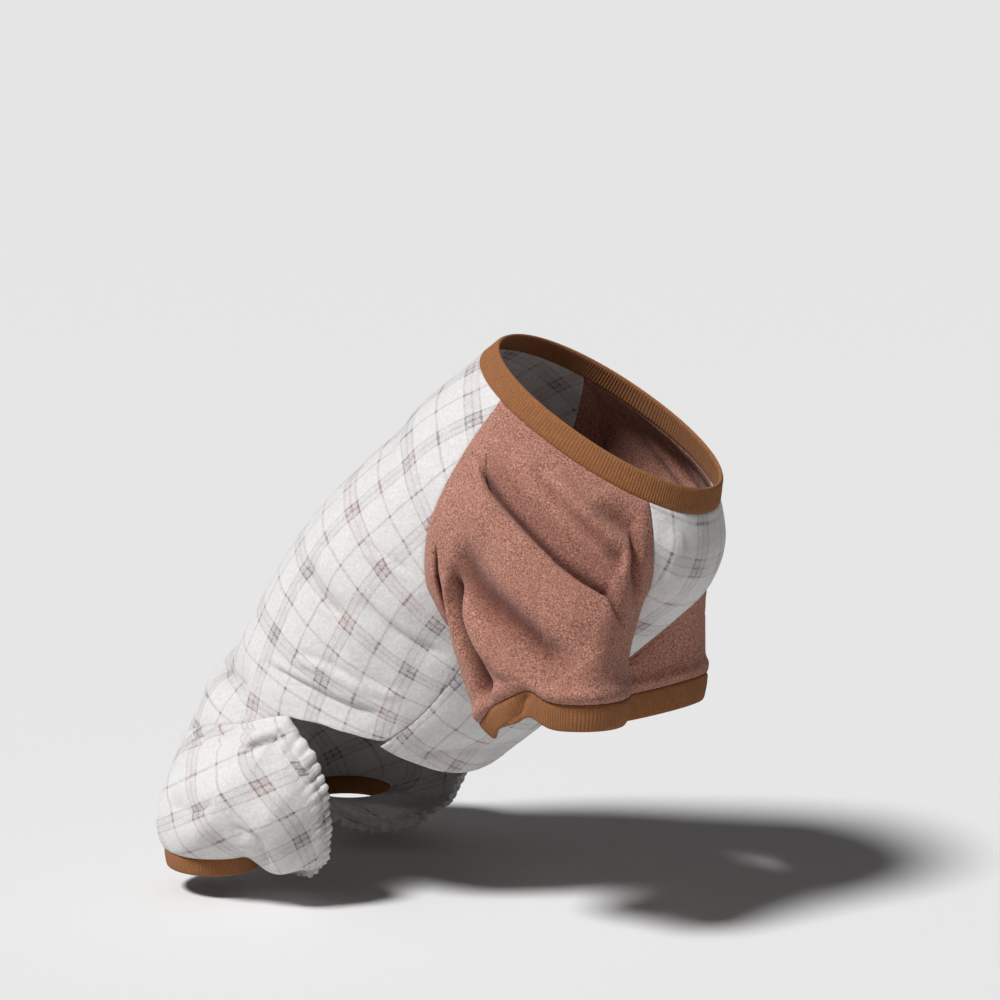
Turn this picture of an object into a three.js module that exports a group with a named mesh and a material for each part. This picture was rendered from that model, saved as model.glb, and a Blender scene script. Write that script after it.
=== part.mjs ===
// A four-legged jumpsuit for a dog, in the form that it has on a sitting dog of about 50 cm at the withers.
// Millimetres. X points to the dog's front, Y to its left and Z up.
// The origin is the middle of the neck opening. The clothes stay open where the neck, legs, belly and tail go.
import * as THREE from "three";

// Cloth
const FLEECE = 2.2; // wall of the plaid fleece of the body and hind legs
const SLEEVE_CLOTH = 2.2; // wall of the brown sleeve cloth
const RIB = 3.4; // wall of the doubled ribbing at the neck and cuffs
const SEAM_GAP = 0.5; // how far each piece stops short of a seam line
const SHARPEST_MITRE = 0.3; // limits how long a seam's mitre gets in a sharp fold

// Neck opening and torso
const NECK_LONG = 243; // neck seam, back to breast
const NECK_WIDE = 166; // neck seam, side to side
const NECK_TILT = 30; // degrees that the breast end of the neck seam drops
const NECK_BAND = 21; // height of the neck ribbing
const NECK_HUG = 0.07; // share by which the ribbing narrows to its free edge
const TORSO_RUN = 400; // neck middle to tail, along X
const TORSO_DROP = 370; // neck middle to the lowest torso station, along Z
const CHEST_WIDTH = 240; // widest girth of the body, side to side

// Front legs. The left sleeve has slipped down and back a little, as worn.
const SLEEVE_DROP = 205; // neck middle down to the right sleeve's end
const SLEEVE_AHEAD = 16; // right sleeve end's middle, ahead of the neck middle
const SLEEVE_SLIP = 42; // how much lower the left sleeve ends
const SLEEVE_LAG = 26; // how much further back the left sleeve ends
const SLEEVE_TIP = 0.3; // how far the left sleeve's end drops to its rear, as a slope
const SLEEVE_SPREAD = 97; // sleeve end's middle, out from the centre line
const SLEEVE_END_LONG = 124; // sleeve end, front to back
const SLEEVE_END_WIDE = 84; // sleeve end, side to side
const SHOULDER_SWELL = 26; // how far a sleeve swells beyond a straight run to its end
const SLEEVE_CLEAR = 5; // how far a sleeve's inner side stays from the body, at its end
const ARMPIT_CLEAR = 15; // and how much further half way down
const FRONT_CUFF = 24; // height of the front cuffs
const FRONT_CUFF_TAPER = 0.07; // share by which a front cuff narrows to its free edge

// Hind legs
const ANKLE_BEHIND = 328; // ankle opening's middle, behind the neck middle
const ANKLE_SPREAD = 112; // ankle opening's middle, out from the centre line
const ANKLE_DROP = 387; // neck middle down to the ankle seam
const ANKLE_LONG = 84; // ankle opening, front to back
const ANKLE_WIDE = 76; // ankle opening, side to side
const THIGH_SWELL = 30; // how far the hind leg swells beyond a straight run to the ankle
const HIND_CUFF = 17; // height of the hind cuffs
const CUFF_TUCK = 2; // how far a hind cuff's free edge is taken in
const GATHERS = 12; // gathers along the elastic edge of a hind leg
const GATHER_LIFT = 2.6; // how far a gather stands out from the cloth, each way
const GATHER_REACH = 0.2; // share of the leg's length over which the gathers die out

const rad = THREE.MathUtils.degToRad;
const RIGHT = -1; // the sign of Y on the dog's right
const LEFT = 1;
const SWELL_FULLNESS = 0.85; // under 1 fills a tube out towards its ends
const SAG_FULLNESS = 1.7; // over 1 keeps a tube's sag away from its ends

// Torso stations from the neck to the tail. Places are shares of TORSO_RUN (X) and TORSO_DROP (Z), the width is a share
// of CHEST_WIDTH. egg narrows a station towards the breast, square makes it fuller at its corners.
const neckRun = ((NECK_LONG / 2) * Math.cos(rad(NECK_TILT))) / TORSO_RUN;
const neckRise = ((NECK_LONG / 2) * Math.sin(rad(NECK_TILT))) / TORSO_DROP;
const neckWidth = NECK_WIDE / CHEST_WIDTH;
const BACK_EGG = 0.35; // share of egg that also widens the back
const TORSO = [
  { backX: -neckRun, backZ: neckRise, frontX: neckRun, frontZ: -neckRise, width: neckWidth, egg: 0.0, square: 0.96 },
  { backX: -0.335, backZ: 0.1, frontX: 0.272, frontZ: -0.255, width: 0.83, egg: 0.04, square: 0.94 },
  { backX: -0.405, backZ: 0.035, frontX: 0.242, frontZ: -0.345, width: 0.9, egg: 0.12, square: 0.93 },
  { backX: -0.47, backZ: -0.035, frontX: 0.175, frontZ: -0.425, width: 0.92, egg: 0.24, square: 0.93 },
  { backX: -0.533, backZ: -0.1, frontX: 0.092, frontZ: -0.505, width: 0.92, egg: 0.38, square: 0.93 },
  { backX: -0.6, backZ: -0.17, frontX: 0.0, frontZ: -0.59, width: 0.94, egg: 0.44, square: 0.92 },
  { backX: -0.66, backZ: -0.243, frontX: -0.095, frontZ: -0.675, width: 0.97, egg: 0.32, square: 0.9 },
  { backX: -0.718, backZ: -0.322, frontX: -0.192, frontZ: -0.76, width: 0.99, egg: 0.16, square: 0.9 },
  { backX: -0.768, backZ: -0.405, frontX: -0.288, frontZ: -0.84, width: 1.0, egg: 0.04, square: 0.9 },
  { backX: -0.812, backZ: -0.488, frontX: -0.375, frontZ: -0.905, width: 1.0, egg: 0.0, square: 0.9 },
  { backX: -0.862, backZ: -0.578, frontX: -0.475, frontZ: -0.945, width: 0.98, egg: 0.0, square: 0.92 },
  { backX: -0.928, backZ: -0.652, frontX: -0.6, frontZ: -0.973, width: 0.94, egg: 0.0, square: 0.94 },
  { backX: -0.965, backZ: -0.73, frontX: -0.725, frontZ: -1.0, width: 0.86, egg: 0.0, square: 0.96 },
  { backX: -0.99, backZ: -0.811, frontX: -0.85, frontZ: -1.0, width: 0.76, egg: 0.0, square: 1.0 },
];

// Seam lines on the torso: at each station, the angle round from the back's middle.
const UNDERARM = 5.2; // station where the two raglan seams meet
const BELLY_HEM = 8.0; // station of the belly's free edge
const BELLY_CORNER = 7.6; // station where the belly's free edge meets the side seam
const TAIL_HEM = 12.9; // station of the back's free edge over the tail
const FLANK = 9; // station where the hind leg's seam begins
const REAR_RAGLAN = [
  { station: 0, angle: 60 },
  { station: 1.5, angle: 66 },
  { station: 3, angle: 74 },
  { station: 4.2, angle: 86 },
  { station: 4.9, angle: 101 },
  { station: UNDERARM, angle: 114 },
];
const FRONT_RAGLAN = [
  { station: 0, angle: 137 },
  { station: 1, angle: 142 },
  { station: 2.1, angle: 148 },
  { station: 3.1, angle: 150 },
  { station: 4, angle: 144 },
  { station: 4.8, angle: 130 },
  { station: UNDERARM, angle: 114 },
];
// From the underarm the side seam runs to the belly's hem. From there the back's lower edge is free up to the flank,
// and then joined to the hind leg as far as the tail.
const BACK_EDGE = [
  { station: UNDERARM, angle: 114 },
  { station: 6.2, angle: 119 },
  { station: 7.2, angle: 122 },
  { station: 7.8, angle: 121 },
  { station: 8.1, angle: 111 },
  { station: 8.5, angle: 98 },
  { station: FLANK, angle: 89 },
  { station: 10, angle: 80 },
  { station: 11, angle: 70 },
  { station: 12, angle: 57 },
  { station: TAIL_HEM, angle: 38 },
];

// Folds. Each is a ridge (lift above 0) or a valley (below 0), in millimetres out from the cloth, along a curve through
// three places, with its half width. On the torso a place is a station and an angle, positive on the dog's right.
const TORSO_FOLDS = [
  { u0: 48, v0: 6.1, u1: 66, v1: 6.35, u2: 84, v2: 6.15, lift: -4, width: 11 },
  { u0: 76, v0: 5.6, u1: 94, v1: 5.75, u2: 111, v2: 5.6, lift: -3, width: 11 },
  { u0: 62, v0: 8.7, u1: 90, v1: 7.85, u2: 113, v2: 7.3, lift: -4.5, width: 12 },
  { u0: 20, v0: 10.7, u1: 48, v1: 9.95, u2: 70, v2: 9.5, lift: -6, width: 13 },
  { u0: 151, v0: 0.4, u1: 155, v1: 1.3, u2: 161, v2: 2.4, lift: 3.5, width: 9 },
  { u0: 130, v0: 8.0, u1: 158, v1: 7.3, u2: 190, v2: 7.5, lift: -4, width: 13 },
  { u0: -46, v0: 6.2, u1: -66, v1: 6.4, u2: -86, v2: 6.1, lift: -4, width: 12 },
  { u0: -60, v0: 8.6, u1: -88, v1: 7.8, u2: -112, v2: 7.4, lift: -4, width: 12 },
  { u0: -22, v0: 10.6, u1: -46, v1: 9.9, u2: -68, v2: 9.5, lift: -5, width: 13 },
  { u0: -44, v0: 3.3, u1: 0, v1: 2.7, u2: 40, v2: 3.1, lift: -2.5, width: 15 },
];
const TORSO_SPAN = { across: 2.05, along: 38 }; // millimetres per degree and per station
// On a sleeve or a hind leg a place is a share of the way round from its seam's start, and a share of the way down.
const SLEEVE_FOLDS = [
  { u0: 0.35, v0: 0.1, u1: 0.515, v1: 0.35, u2: 0.72, v2: 0.4, lift: -7, width: 11 },
  { u0: 0.36, v0: 0.22, u1: 0.5, v1: 0.47, u2: 0.68, v2: 0.52, lift: 3.5, width: 15 },
  { u0: 0.49, v0: 0.05, u1: 0.56, v1: 0.15, u2: 0.7, v2: 0.22, lift: 4.5, width: 12 },
  { u0: 0.34, v0: 0.24, u1: 0.41, v1: 0.58, u2: 0.56, v2: 0.76, lift: -5, width: 14 },
  { u0: 0.29, v0: 0.5, u1: 0.305, v1: 0.76, u2: 0.34, v2: 1.05, lift: -7, width: 12 },
  { u0: 0.235, v0: 0.2, u1: 0.24, v1: 0.42, u2: 0.25, v2: 0.7, lift: -4.5, width: 11 },
  { u0: 0.08, v0: 0.45, u1: 0.16, v1: 0.6, u2: 0.24, v2: 0.9, lift: -4, width: 12 },
  { u0: 0.75, v0: 0.3, u1: 0.82, v1: 0.5, u2: 0.93, v2: 0.6, lift: -4, width: 13 },
];
const SLEEVE_SPAN = { across: 500, along: 190 };
const LEG_FOLDS = [
  { u0: 0.085, v0: 0.14, u1: 0.045, v1: 0.15, u2: 0.005, v2: 0.13, lift: -6, width: 8 },
  { u0: 0.04, v0: 0.5, u1: 0.11, v1: 0.6, u2: 0.2, v2: 0.55, lift: -4, width: 12 },
  { u0: 0.995, v0: 0.72, u1: 0.94, v1: 0.6, u2: 0.88, v2: 0.55, lift: -5, width: 11 },
  { u0: 0.24, v0: 0.3, u1: 0.29, v1: 0.45, u2: 0.33, v2: 0.7, lift: -4, width: 12 },
];
const LEG_SPAN = { across: 430, along: 130 };

// A smooth rise from 0 to 1 as x goes from low to high.
const ease = (x, low, high) => THREE.MathUtils.smoothstep(x, low, high);
const mix = THREE.MathUtils.lerp;

// Numbers from low to high in count even steps.
const steps = (low, high, count) => Array.from({ length: count + 1 }, (_, k) => low + ((high - low) * k) / count);

// A smooth curve through evenly spaced values, at place t counted in values.
function through(values, t) {
  const last = values.length - 1;
  const i = Math.min(Math.max(Math.floor(t), 0), last - 1);
  const f = t - i;
  const at = (k) => values[Math.min(Math.max(k, 0), last)];
  const [a, b, c, d] = [at(i - 1), at(i), at(i + 1), at(i + 2)];
  return b + 0.5 * f * (c - a + f * (2 * a - 5 * b + 4 * c - d + f * (3 * (b - c) + d - a)));
}

// The angle of a seam line at a station, in degrees, along a monotone cubic through its rows.
function seamAngle(rows, station) {
  const last = rows.length - 1;
  let i = 0;
  while (i < last - 1 && station > rows[i + 1].station) i += 1;
  const slope = (k) => (rows[k + 1].angle - rows[k].angle) / (rows[k + 1].station - rows[k].station);
  const tangent = (k) => {
    if (k === 0) return slope(0);
    if (k === last) return slope(last - 1);
    const [before, after] = [slope(k - 1), slope(k)];
    return before * after <= 0 ? 0 : (2 * before * after) / (before + after);
  };
  const span = rows[i + 1].station - rows[i].station;
  const f = Math.min(Math.max((station - rows[i].station) / span, 0), 1);
  const [f2, f3] = [f * f, f * f * f];
  return (
    rows[i].angle * (2 * f3 - 3 * f2 + 1) +
    tangent(i) * span * (f3 - 2 * f2 + f) +
    rows[i + 1].angle * (3 * f2 - 2 * f3) +
    tangent(i + 1) * span * (f3 - f2)
  );
}

// How far a table of folds lifts the cloth at a place (u across, v along).
const FOLD_PARTS = 8;
function foldLift(folds, span, u, v) {
  let lift = 0;
  for (const fold of folds) {
    const place = (t) => {
      const [w0, w1, w2] = [(1 - t) * (1 - 2 * t), 4 * t * (1 - t), t * (2 * t - 1)];
      const across = fold.u0 * w0 + fold.u1 * w1 + fold.u2 * w2 - u;
      const along = fold.v0 * w0 + fold.v1 * w1 + fold.v2 * w2 - v;
      return new THREE.Vector2(across * span.across, along * span.along);
    };
    let [nearest, where] = [Infinity, 0];
    for (let k = 0; k < FOLD_PARTS; k += 1) {
      const [a, b] = [place(k / FOLD_PARTS), place((k + 1) / FOLD_PARTS)];
      const ab = b.clone().sub(a);
      const f = Math.min(Math.max(-a.dot(ab) / ab.lengthSq(), 0), 1);
      const distance = a.addScaledVector(ab, f).length();
      if (distance < nearest) [nearest, where] = [distance, (k + f) / FOLD_PARTS];
    }
    const fade = ease(where, -0.02, 0.25) * ease(1 - where, -0.02, 0.25);
    lift += fold.lift * fade * Math.exp(-((nearest / fold.width) ** 2));
  }
  return lift;
}

const torsoColumn = (name, station) => through(TORSO.map((row) => row[name]), station);

// How much wider or narrower an egg-shaped station is at c, from -1 at the breast to 1 at the back.
const eggShape = (egg, c) => 1 + egg * (c < 0 ? c : BACK_EGG * c);

// A point of the smooth torso: station along it, angle round it from the back's middle, positive on the dog's right.
function bodyPoint(station, angle) {
  const column = (name) => torsoColumn(name, station);
  const [bx, bz] = [column("backX") * TORSO_RUN, column("backZ") * TORSO_DROP];
  const [fx, fz] = [column("frontX") * TORSO_RUN, column("frontZ") * TORSO_DROP];
  const half = (column("width") * CHEST_WIDTH) / 2;
  const round = (v) => Math.sign(v) * Math.abs(v) ** column("square");
  const [c, s] = [round(Math.cos(rad(angle))), round(Math.sin(rad(angle)))];
  const y = RIGHT * half * s * eggShape(column("egg"), c);
  return new THREE.Vector3((bx + fx) / 2 + (c * (bx - fx)) / 2, y, (bz + fz) / 2 + (c * (bz - fz)) / 2);
}

// The direction straight out of a torso surface at a place.
function torsoNormal(surface, station, angle) {
  const [low, high] = [Math.max(station - 0.05, 0), station + 0.05];
  const along = surface(high, angle).sub(surface(low, angle));
  const across = surface(station, angle + 1).sub(surface(station, angle - 1));
  return along.cross(across).normalize();
}

// A point of the torso with its folds.
function torsoPoint(station, angle) {
  const turned = ((((angle + 180) % 360) + 360) % 360) - 180;
  const lift = foldLift(TORSO_FOLDS, TORSO_SPAN, turned, station);
  return bodyPoint(station, angle).addScaledVector(torsoNormal(bodyPoint, station, angle), lift);
}

// Moves a point out sideways, if need be, so that it keeps clear of the torso.
function clearOfTorso(point, side, clearance) {
  const ends = (station) => [
    new THREE.Vector2(torsoColumn("backX", station) * TORSO_RUN, torsoColumn("backZ", station) * TORSO_DROP),
    new THREE.Vector2(torsoColumn("frontX", station) * TORSO_RUN, torsoColumn("frontZ", station) * TORSO_DROP),
  ];
  const flat = new THREE.Vector2(point.x, point.z);
  const above = (station) => {
    const [back, front] = ends(station);
    return front.sub(back).cross(flat.clone().sub(back));
  };
  let [low, high] = [0, BELLY_HEM];
  if (above(low) > 0 || above(high) < 0) return point;
  for (let k = 0; k < 30; k += 1) {
    const middle = (low + high) / 2;
    if (above(middle) > 0) high = middle;
    else low = middle;
  }
  const [back, front] = ends(low);
  const halfway = back.clone().add(front).divideScalar(2);
  const c = (2 * flat.sub(halfway).dot(back.clone().sub(front))) / back.distanceToSquared(front);
  if (Math.abs(c) >= 1) return point;
  const square = torsoColumn("square", low);
  const s = Math.sqrt(1 - Math.abs(c) ** (2 / square)) ** square;
  const half = ((torsoColumn("width", low) * CHEST_WIDTH) / 2) * s * eggShape(torsoColumn("egg", low), c);
  const limit = half + clearance;
  const out = side * point.y;
  const spare = Math.sqrt((out - limit) ** 2 + SLEEVE_CLEAR ** 2);
  return new THREE.Vector3(point.x, side * ((out + limit + spare) / 2 - SLEEVE_CLEAR / 4), point.z);
}

// The offset for two walls that meet at a seam, from the directions straight out of them.
function mitre(a, b) {
  const sum = a.clone().add(b);
  return sum.multiplyScalar(2 / Math.max(sum.lengthSq(), SHARPEST_MITRE));
}

// The direction straight out of a grid at one of its points.
function gridNormal(rows, j, i, { ring, outward }) {
  const [n, m] = [rows.length, rows[0].length];
  const at = (row, column) =>
    rows[Math.min(Math.max(row, 0), n - 1)][ring ? (column + m) % m : Math.min(Math.max(column, 0), m - 1)];
  const across = new THREE.Vector3().subVectors(at(j, i + 1), at(j, i - 1));
  const along = new THREE.Vector3().subVectors(at(j + 1, i), at(j - 1, i));
  return across.cross(along).normalize().multiplyScalar(outward);
}

// A closed solid from a grid of points on the cloth's middle surface: rows of points, thickened by half the wall each way.
// A ring's rows close on themselves. outward is 1 or -1 and says which way the grid faces. seam gives the offset at a
// row and column that lie on a seam.
function clothSolid(rows, wall, { ring, outward, seam }) {
  const [n, m] = [rows.length, rows[0].length];
  const positions = [];
  for (const side of [1, -1]) {
    for (let j = 0; j < n; j += 1) {
      for (let i = 0; i < m; i += 1) {
        const offset = seam(j, i) ?? gridNormal(rows, j, i, { ring, outward });
        positions.push(...rows[j][i].clone().addScaledVector(offset, (side * wall) / 2).toArray());
      }
    }
  }
  const index = [];
  const inner = n * m;
  const quad = (a, b, c, d) => (outward > 0 ? index.push(a, b, c, a, c, d) : index.push(a, c, b, a, d, c));
  const cells = ring ? m : m - 1;
  for (let j = 0; j < n - 1; j += 1) {
    for (let i = 0; i < cells; i += 1) {
      const [a, b] = [j * m + i, j * m + ((i + 1) % m)];
      quad(a, b, b + m, a + m);
      quad(inner + a, inner + a + m, inner + b + m, inner + b);
    }
  }
  for (let i = 0; i < cells; i += 1) {
    const [a, b] = [i, (i + 1) % m];
    const [c, d] = [(n - 1) * m + i, (n - 1) * m + ((i + 1) % m)];
    quad(inner + a, inner + b, b, a);
    quad(c, d, inner + d, inner + c);
  }
  if (!ring) {
    for (let j = 0; j < n - 1; j += 1) {
      const [a, b] = [j * m, (j + 1) * m];
      quad(a, b, inner + b, inner + a);
      quad(inner + a + m - 1, inner + b + m - 1, b + m - 1, a + m - 1);
    }
  }
  const geometry = new THREE.BufferGeometry();
  geometry.setAttribute("position", new THREE.Float32BufferAttribute(positions, 3));
  geometry.setIndex(index);
  geometry.computeVertexNormals();
  return geometry;
}

// Moves the outer points of a grid towards their neighbours, so that it stops short of its seams. A tube's end or a
// cuff's top, whose line can be steep, is lifted or lowered straight instead: plumb is the row to treat so.
function stopShort(rows, ring, plumb) {
  const [n, m] = [rows.length, rows[0].length];
  return rows.map((row, j) =>
    row.map((point, i) => {
      const moved = point.clone();
      if (j === plumb) return moved.setZ(point.z + (j === 0 ? -SEAM_GAP : SEAM_GAP));
      const pull = (next) => moved.add(next.clone().sub(point).setLength(SEAM_GAP));
      if (!ring && i === 0) pull(row[1]);
      if (!ring && i === m - 1) pull(row[m - 2]);
      if (j === 0) pull(rows[1][i]);
      if (j === n - 1) pull(rows[n - 2][i]);
      return moved;
    }),
  );
}

// A column's swell, from a table by its turn round the tube. side mirrors it.
function swellAt(rows, turn, size, side) {
  const wrapped = ((((turn - rows[0].turn) % 360) + 360) % 360) + rows[0].turn;
  let i = 0;
  while (i < rows.length - 2 && wrapped > rows[i + 1].turn) i += 1;
  const f = ease(wrapped, rows[i].turn, rows[i + 1].turn);
  const part = (name) => mix(rows[i][name], rows[i + 1][name], f) * size;
  return new THREE.Vector3(part("ahead"), side * part("out"), -part("down"));
}

// Swells a point at a share v of the way down a tube.
function swollen(point, swell, v) {
  const fullness = 4 * v * (1 - v);
  const across = new THREE.Vector3(swell.x, swell.y, 0).multiplyScalar(fullness ** SWELL_FULLNESS);
  return point.add(across).add(new THREE.Vector3(0, 0, swell.z * fullness ** SAG_FULLNESS));
}

// Lifts a tube's points by its folds. Its ends stay where they are.
function foldTube(rows, lifts, outward) {
  const last = rows.length - 1;
  return rows.map((row, j) =>
    row.map((point, i) =>
      j === 0 || j === last ? point : point.clone().addScaledVector(gridNormal(rows, j, i, { ring: true, outward }), lifts[j][i]),
    ),
  );
}

// Stations of the panels' rows, shared with the sleeves and hind legs along their seams.
const SHOULDER_ROWS = [0, 0.5, 1.0, 1.55, 2.1, 2.6, 3.1, 3.55, 4.0, 4.4, 4.75, 5.0, UNDERARM];
const SIDE_ROWS = [5.65, 6.15, 6.7, 7.2, BELLY_CORNER];
const FREE_ROWS = [7.85, 8.15, 8.55];
const RUMP_ROWS = [FLANK, 9.5, 10.0, 10.5, 11.0, 11.5, 12.0, 12.45, TAIL_HEM];
const BACK_COLUMNS = 20;
const FRONT_COLUMNS = 12;
const NECK_COLUMNS = 5; // along a sleeve's top
const FREE_COLUMNS = 2 * GATHERS; // along a hind leg's free edge

// A sleeve's way round, from the underarm: up the rear raglan seam, along the neck and down the front raglan seam.
const REAR_SHARE = 0.41;
const FRONT_SHARE = 0.41;
const NECK_SHARE = 1 - REAR_SHARE - FRONT_SHARE;
const NECK_FROM = REAR_RAGLAN[0].angle;
const NECK_TO = FRONT_RAGLAN[0].angle;
const SLEEVE_COLUMNS = [
  ...SHOULDER_ROWS.slice(1).reverse().map((station) => REAR_SHARE * (1 - station / UNDERARM)),
  ...steps(REAR_SHARE, REAR_SHARE + NECK_SHARE, NECK_COLUMNS),
  ...SHOULDER_ROWS.slice(1, -1).map((station) => 1 - FRONT_SHARE * (1 - station / UNDERARM)),
];

// The station and angle of an armhole at a share u of the way round.
function armholeAt(u) {
  if (u < REAR_SHARE) {
    const station = UNDERARM * (1 - u / REAR_SHARE);
    return [station, seamAngle(REAR_RAGLAN, station)];
  }
  if (u > 1 - FRONT_SHARE) {
    const station = UNDERARM * (1 - (1 - u) / FRONT_SHARE);
    return [station, seamAngle(FRONT_RAGLAN, station)];
  }
  return [0, mix(NECK_FROM, NECK_TO, (u - REAR_SHARE) / NECK_SHARE)];
}

// Where the sleeve's way round meets its end. Turn 0 is ahead and 90 outwards.
const UNDERARM_TURN = 232;
const REAR_CORNER_TURN = 112;
const FRONT_CORNER_TURN = 62;
function sleeveTurn(u) {
  if (u < REAR_SHARE) return mix(UNDERARM_TURN, REAR_CORNER_TURN, u / REAR_SHARE);
  if (u > 1 - FRONT_SHARE) return mix(UNDERARM_TURN - 360, FRONT_CORNER_TURN, (1 - u) / FRONT_SHARE);
  return mix(REAR_CORNER_TURN, FRONT_CORNER_TURN, (u - REAR_SHARE) / NECK_SHARE);
}

// The end of a sleeve, an oval whose rear corner is pinched out and hangs lower, with a tucked crest beside it.
// t goes from the sleeve's end to the cuff's free edge.
const PINCH = { turn: 163, spread: 30, out: 0.16, sag: 33, loosen: 0.35 };
const CREST = { turn: 98, spread: 15, rise: 8, dent: 0.07 };
const LEFT_SHARE = 0.4; // how much of the pinch and crest the left sleeve has
function sleeveRing(side, turn, t) {
  const bump = ({ turn: at, spread }) => Math.exp(-(((((turn - at + 540) % 360) - 180) / spread) ** 2));
  const slipped = side === LEFT ? 1 : 0;
  const share = mix(1, LEFT_SHARE, slipped);
  const pinch = share * bump(PINCH);
  const crest = share * bump(CREST);
  const reach = (1 - FRONT_CUFF_TAPER * t * t) * (1 + PINCH.out * (1 - t) * pinch - CREST.dent * crest);
  const behind = -(SLEEVE_END_LONG / 2) * reach * Math.cos(rad(turn));
  const y = SLEEVE_SPREAD + (SLEEVE_END_WIDE / 2) * reach * Math.sin(rad(turn));
  const drop = SLEEVE_DROP + slipped * (SLEEVE_SLIP + SLEEVE_TIP * behind) + FRONT_CUFF * t;
  const sag = PINCH.sag * (1 - PINCH.loosen * t) * pinch - CREST.rise * crest;
  const point = new THREE.Vector3(SLEEVE_AHEAD - SLEEVE_LAG * slipped - behind, side * y, -drop - sag);
  return clearOfTorso(point, side, SLEEVE_CLEAR);
}

// How a sleeve swells, as shares of SHOULDER_SWELL, by turn. The left one hangs flatter ahead.
const RIGHT_SWELL = [
  { turn: -128, ahead: 0.1, out: 0.3, down: 0.1 },
  { turn: -60, ahead: 0.0, out: 0.1, down: 0.2 },
  { turn: 0, ahead: 0.1, out: 0.4, down: 0.0 },
  { turn: 60, ahead: 0.15, out: 0.9, down: -0.1 },
  { turn: 110, ahead: -0.1, out: 1.0, down: -0.1 },
  { turn: 170, ahead: -0.25, out: 0.6, down: 0.0 },
  { turn: 232, ahead: 0.1, out: 0.3, down: 0.1 },
];
const LEFT_SWELL = [
  { turn: -128, ahead: -0.1, out: 0.3, down: 0.1 },
  { turn: -60, ahead: -0.5, out: 0.0, down: 0.1 },
  { turn: 0, ahead: -0.5, out: 0.1, down: 0.0 },
  { turn: 60, ahead: -0.3, out: 0.5, down: -0.1 },
  { turn: 110, ahead: -0.3, out: 0.9, down: -0.1 },
  { turn: 170, ahead: -0.45, out: 0.6, down: 0.0 },
  { turn: 232, ahead: -0.1, out: 0.3, down: 0.1 },
];

// A point of the smooth sleeve: share u of the way round, share v of the way down.
function sleevePoint(side, u, v) {
  const [station, angle] = armholeAt(u);
  const turn = sleeveTurn(u);
  const swell = swellAt(side === RIGHT ? RIGHT_SWELL : LEFT_SWELL, turn, SHOULDER_SWELL, side);
  const point = swollen(torsoPoint(station, -side * angle).lerp(sleeveRing(side, turn, 0), v), swell, v);
  const settled = clearOfTorso(point, side, SLEEVE_CLEAR + ARMPIT_CLEAR * 4 * v * (1 - v));
  return point.lerp(settled, ease(v, 0, 0.08) * ease(1 - v, 0, 0.08));
}

const SLEEVE_ROWS = 14;
function sleeveRows(side) {
  const rows = steps(0, 1, SLEEVE_ROWS).map((v) => SLEEVE_COLUMNS.map((u) => sleevePoint(side, u, v)));
  const lifts = steps(0, 1, SLEEVE_ROWS).map((v) =>
    SLEEVE_COLUMNS.map((u) => foldLift(SLEEVE_FOLDS, SLEEVE_SPAN, u, v) * ease(1 - v, 0, 0.16)),
  );
  return foldTube(rows, lifts, side);
}

// The neck ribbing leans in towards its free edge. t is the share of its height.
const neckAxis = new THREE.Vector3(Math.sin(rad(NECK_TILT)), 0, Math.cos(rad(NECK_TILT)));
function bandPoint(angle, t) {
  return torsoPoint(0, angle)
    .multiplyScalar(1 - NECK_HUG * t)
    .addScaledVector(neckAxis, NECK_BAND * t);
}
function bandNormal(angle) {
  const across = bandPoint(angle + 1, 0).sub(bandPoint(angle - 1, 0));
  return across.cross(bandPoint(angle, 0).sub(bandPoint(angle, 1))).normalize().negate();
}

const panelNormal = (station, angle) => torsoNormal(torsoPoint, station, angle);
const neckMitre = (angle) => mitre(panelNormal(0, angle), bandNormal(angle));

// The offsets along an armhole, in the order of SLEEVE_COLUMNS.
function armholeMitres(side) {
  const rows = sleeveRows(side);
  return SLEEVE_COLUMNS.map((u, i) => {
    const [station, angle] = armholeAt(u);
    const turned = -side * angle;
    const own = gridNormal(rows, 0, i, { ring: true, outward: side });
    if (station > 0) return mitre(panelNormal(station, turned), own);
    const corner = angle === NECK_FROM || angle === NECK_TO;
    return corner ? neckMitre(turned) : mitre(own, bandNormal(turned));
  });
}
const ARMHOLE_MITRES = { [RIGHT]: armholeMitres(RIGHT), [LEFT]: armholeMitres(LEFT) };
const REAR_COUNT = SHOULDER_ROWS.length - 1; // columns from the underarm to the neck
const rearMitre = (side, row) => ARMHOLE_MITRES[side][REAR_COUNT - row];
const frontMitre = (side, row) => ARMHOLE_MITRES[side][(REAR_COUNT + NECK_COLUMNS + row) % SLEEVE_COLUMNS.length];

// A radial direction for a tube's end, the same for the tube and its cuff.
function ringNormal(ringAt, turn) {
  const across = ringAt(turn + 1).sub(ringAt(turn - 1));
  const middle = ringAt(0).add(ringAt(180)).divideScalar(2);
  const out = new THREE.Vector3(across.y, -across.x, 0).normalize();
  return out.dot(ringAt(turn).sub(middle)) < 0 ? out.negate() : out;
}

function sleeve(side) {
  const rows = stopShort(sleeveRows(side), true, SLEEVE_ROWS);
  const seam = (j, i) => {
    if (j === 0) return ARMHOLE_MITRES[side][i];
    return j === SLEEVE_ROWS ? ringNormal((turn) => sleeveRing(side, turn, 0), sleeveTurn(SLEEVE_COLUMNS[i])) : null;
  };
  return clothSolid(rows, SLEEVE_CLOTH, { ring: true, outward: side, seam });
}

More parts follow.
